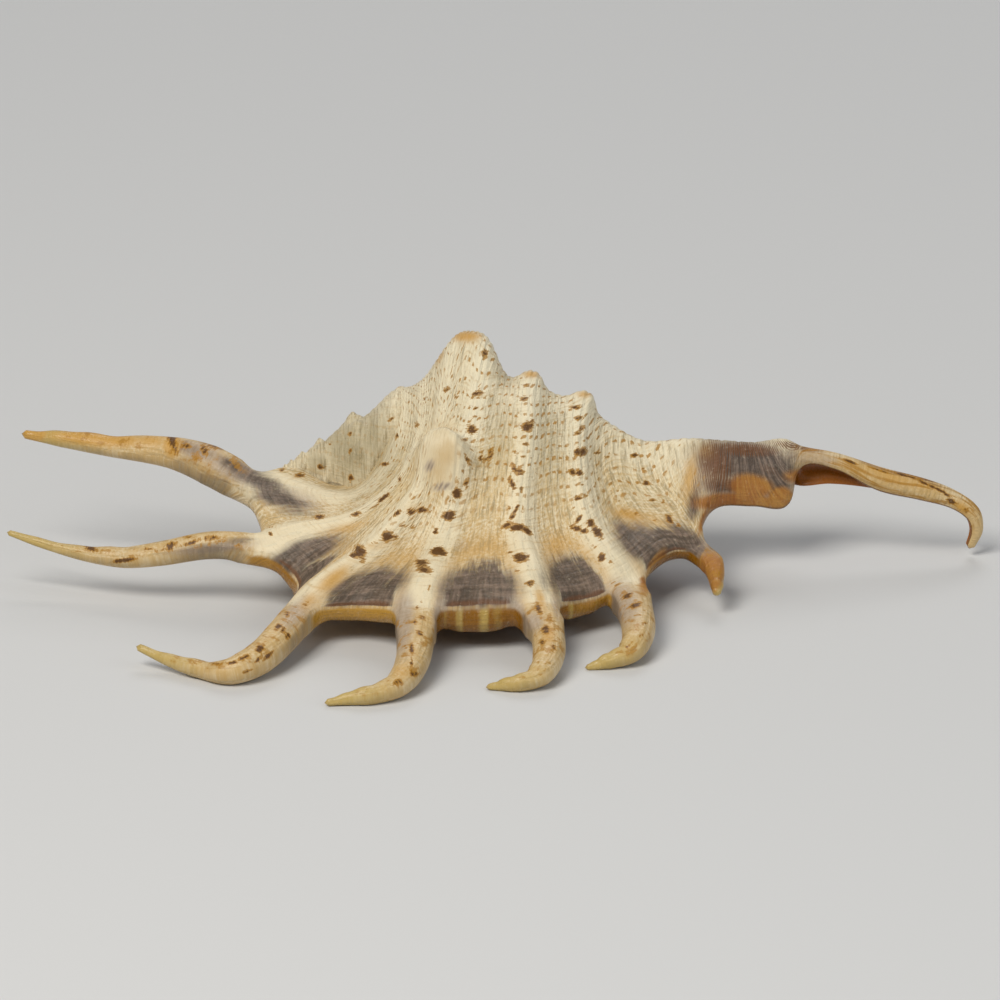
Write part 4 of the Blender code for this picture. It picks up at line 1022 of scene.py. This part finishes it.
class ColourSettings(bpy.types.PropertyGroup):
    """The shell's colours."""

    cream: FloatVectorProperty(
        name="Cream", description="Main colour of the outer wall", default=(0.70, 0.525, 0.27), **COLOUR)
    chalk: FloatVectorProperty(
        name="Chalk", description="Whiter colour high on the outer wall", default=(0.76, 0.665, 0.46), **COLOUR)
    pale: FloatVectorProperty(
        name="Pale", description="Palest streaks of the outer wall", default=(0.86, 0.77, 0.55), **COLOUR)
    tan: FloatVectorProperty(
        name="Tan", description="Warmer parts towards the lip and on the fingers",
        default=(0.55, 0.355, 0.13), **COLOUR)
    grey: FloatVectorProperty(
        name="Grey", description="Grey streaks along the cords", default=(0.36, 0.29, 0.165), **COLOUR)
    # Colour of the painted shade on the overhung spire and in the furrows
    painted_shade: FloatVectorProperty(
        name="Olive", description="Duller colour of the spire and the hollows",
        default=(0.33, 0.27, 0.145), **COLOUR)
    ochre: FloatVectorProperty(
        name="Ochre", description="Warm patches", default=(0.56, 0.3, 0.055), **COLOUR)
    violet: FloatVectorProperty(
        name="Violet", description="Violet grey patches by the lip", default=(0.058, 0.038, 0.027), **COLOUR)
    lilac: FloatVectorProperty(
        name="Lilac", description="Paler streaks in the violet grey", default=(0.235, 0.165, 0.12), **COLOUR)
    haze: FloatVectorProperty(
        name="Haze", description="Pale lilac wash on the fingers' roots", default=(0.44, 0.36, 0.29), **COLOUR)
    brown: FloatVectorProperty(
        name="Brown", description="Middles of the marks", default=(0.09, 0.032, 0.002), **COLOUR)
    fringe: FloatVectorProperty(
        name="Fringe", description="Edges of the marks, and flecks", default=(0.39, 0.18, 0.01), **COLOUR)
    # Also the colour of the painted shade along the lip's edge
    bark: FloatVectorProperty(
        name="Bark", description="Brown between the cords of the canal", default=(0.15, 0.055, 0.014), **COLOUR)
    tip: FloatVectorProperty(
        name="Tip", description="Ends of the fingers", default=(0.52, 0.375, 0.105), **COLOUR)
    gold: FloatVectorProperty(
        name="Gold", description="Yellow part of the lip's rim", default=(0.48, 0.26, 0.04), **COLOUR)
    orange: FloatVectorProperty(
        name="Orange", description="Orange part of the lip's rim", default=(0.25, 0.105, 0.006), **COLOUR)
    deep_orange: FloatVectorProperty(
        name="Deep orange", description="Inside of the opening", default=(0.3, 0.095, 0.01), **COLOUR)


class StageSettings(bpy.types.PropertyGroup):
    """Floor, lights and camera."""

    floor_size: FloatProperty(
        name="Floor size", description="Side of the floor",
        default=6.0, min=0.5, subtype="DISTANCE", unit="LENGTH")
    floor_colour: FloatVectorProperty(
        name="Floor colour", description="Colour of the floor", default=(0.62, 0.62, 0.61), **COLOUR)
    lens: FloatProperty(
        name="Lens", description="Focal length", default=600.0, min=20, subtype="DISTANCE_CAMERA")
    tilt: FloatProperty(
        name="Tilt", description="How far the camera looks down",
        default=math.radians(20), subtype="ANGLE", unit="ROTATION")
    key_power: FloatProperty(
        name="Key light", description="Power of the main light",
        default=7.0, min=0, subtype="POWER", unit="POWER")
    fill_power: FloatProperty(
        name="Fill light", description="Power of the second light and of the one behind",
        default=1.6, min=0, subtype="POWER", unit="POWER")


class SHELL_OT_body(bpy.types.Operator):
    """Builds the last whorl with its lip, fingers and canal"""

    bl_idname = "shell.body"
    bl_label = "Build whorl, lip and fingers"

    def execute(self, context):
        """Makes the piece and its material."""
        scene = context.scene
        points, faces, fields = shell_surface(scene.shell_shape)
        points[:, 2] = np.maximum(points[:, 2], ORIGIN[2])
        material = shell_material(scene.shell_colours)
        add_piece("whorl_and_fingers", points, faces, marked_fields(points, faces, fields), material)
        return {"FINISHED"}


class SHELL_OT_spire(bpy.types.Operator):
    """Builds the spire of early whorls"""

    bl_idname = "shell.spire"
    bl_label = "Build spire"

    def execute(self, context):
        """Makes the piece and its material."""
        scene = context.scene
        points, faces, fields = spire_surface(scene.shell_shape)
        material = shell_material(scene.shell_colours)
        add_piece("spire", points, faces, marked_fields(points, faces, fields), material)
        return {"FINISHED"}


class SHELL_OT_stage(bpy.types.Operator):
    """Lays the floor and sets the lights and the camera"""

    bl_idname = "shell.stage"
    bl_label = "Build floor, lights and camera"

    def execute(self, context):
        """Makes the stage."""
        scene = context.scene
        stage = scene.shell_stage
        half = stage.floor_size / 2
        mesh = bpy.data.meshes.new("floor")
        corners = [(-half, -half, 0), (half, -half, 0), (half, half, 0), (-half, half, 0)]
        mesh.from_pydata(corners, [], [(0, 1, 2, 3)])
        floor = bpy.data.objects.new("floor", mesh)
        s = Shader("floor")
        s.surface.inputs["Base Color"].default_value = (*stage.floor_colour, 1.0)
        s.surface.inputs["Roughness"].default_value = FLOOR_ROUGHNESS
        mesh.materials.append(s.material)
        scene.collection.objects.link(floor)

        world = bpy.data.worlds.new("soft room")
        world.use_nodes = True
        background = world.node_tree.nodes["Background"]
        background.inputs["Color"].default_value = ROOM_COLOUR
        background.inputs["Strength"].default_value = ROOM_STRENGTH
        scene.world = world
        add_light("key", KEY_LIGHT, stage.key_power)
        add_light("fill", FILL_LIGHT, stage.fill_power)
        add_light("rim", BACK_LIGHT, stage.fill_power)

        data = bpy.data.cameras.new("camera")
        data.lens = stage.lens
        data.clip_start = CAMERA_CLIP_START
        camera = bpy.data.objects.new("camera", data)
        aim = (np.array((0.0, 0.0, SEEN_LEVEL / math.cos(SEEN_TILT))) - ORIGIN) * MM
        away = SEEN_MM_PER_PX * SEEN_WIDTH_PX * MM * stage.lens / data.sensor_width
        camera.location = aim + TOWARD_EYE * away
        camera.rotation_euler = (math.pi / 2 - stage.tilt, 0, 0)
        scene.collection.objects.link(camera)
        scene.camera = camera
        scene.view_settings.view_transform = "Standard"
        return {"FINISHED"}


def add_light(name, light, power):
    """A square light that faces the middle of the floor."""
    place, size, colour = light
    data = bpy.data.lights.new(name, "AREA")
    data.size = size
    data.energy = power
    data.color = colour
    obj = bpy.data.objects.new(name, data)
    obj.location = place
    obj.rotation_euler = (-obj.location).to_track_quat("-Z", "Y").to_euler()
    bpy.context.scene.collection.objects.link(obj)


class SHELL_PT_panel(bpy.types.Panel):
    """Lists the shell's operators and settings"""

    bl_label = "Shell"
    bl_idname = "SHELL_PT_panel"
    bl_space_type = "VIEW_3D"
    bl_region_type = "UI"
    bl_category = "Shell"

    def draw(self, context):
        """Draws the buttons and the settings."""
        for operator in OPERATORS:
            self.layout.operator(operator.bl_idname)
        for group in (context.scene.shell_shape, context.scene.shell_colours, context.scene.shell_stage):
            box = self.layout.box()
            for key in group.__annotations__:
                box.prop(group, key)


GROUPS = (ShapeSettings, ColourSettings, StageSettings)
OPERATORS = (SHELL_OT_body, SHELL_OT_spire, SHELL_OT_stage)


def register():
    """Registers the classes and puts the settings on the scene."""
    for cls in (*GROUPS, *OPERATORS, SHELL_PT_panel):
        bpy.utils.register_class(cls)
    bpy.types.Scene.shell_shape = PointerProperty(type=ShapeSettings)
    bpy.types.Scene.shell_colours = PointerProperty(type=ColourSettings)
    bpy.types.Scene.shell_stage = PointerProperty(type=StageSettings)


def unregister():
    """Takes the settings off the scene and unregisters the classes."""
    del bpy.types.Scene.shell_shape
    del bpy.types.Scene.shell_colours
    del bpy.types.Scene.shell_stage
    for cls in reversed((*GROUPS, *OPERATORS, SHELL_PT_panel)):
        bpy.utils.unregister_class(cls)


def main():
    """Builds everything."""
    register()
    bpy.ops.shell.body()
    bpy.ops.shell.spire()
    bpy.ops.shell.stage()


if __name__ == "__main__":
    main()
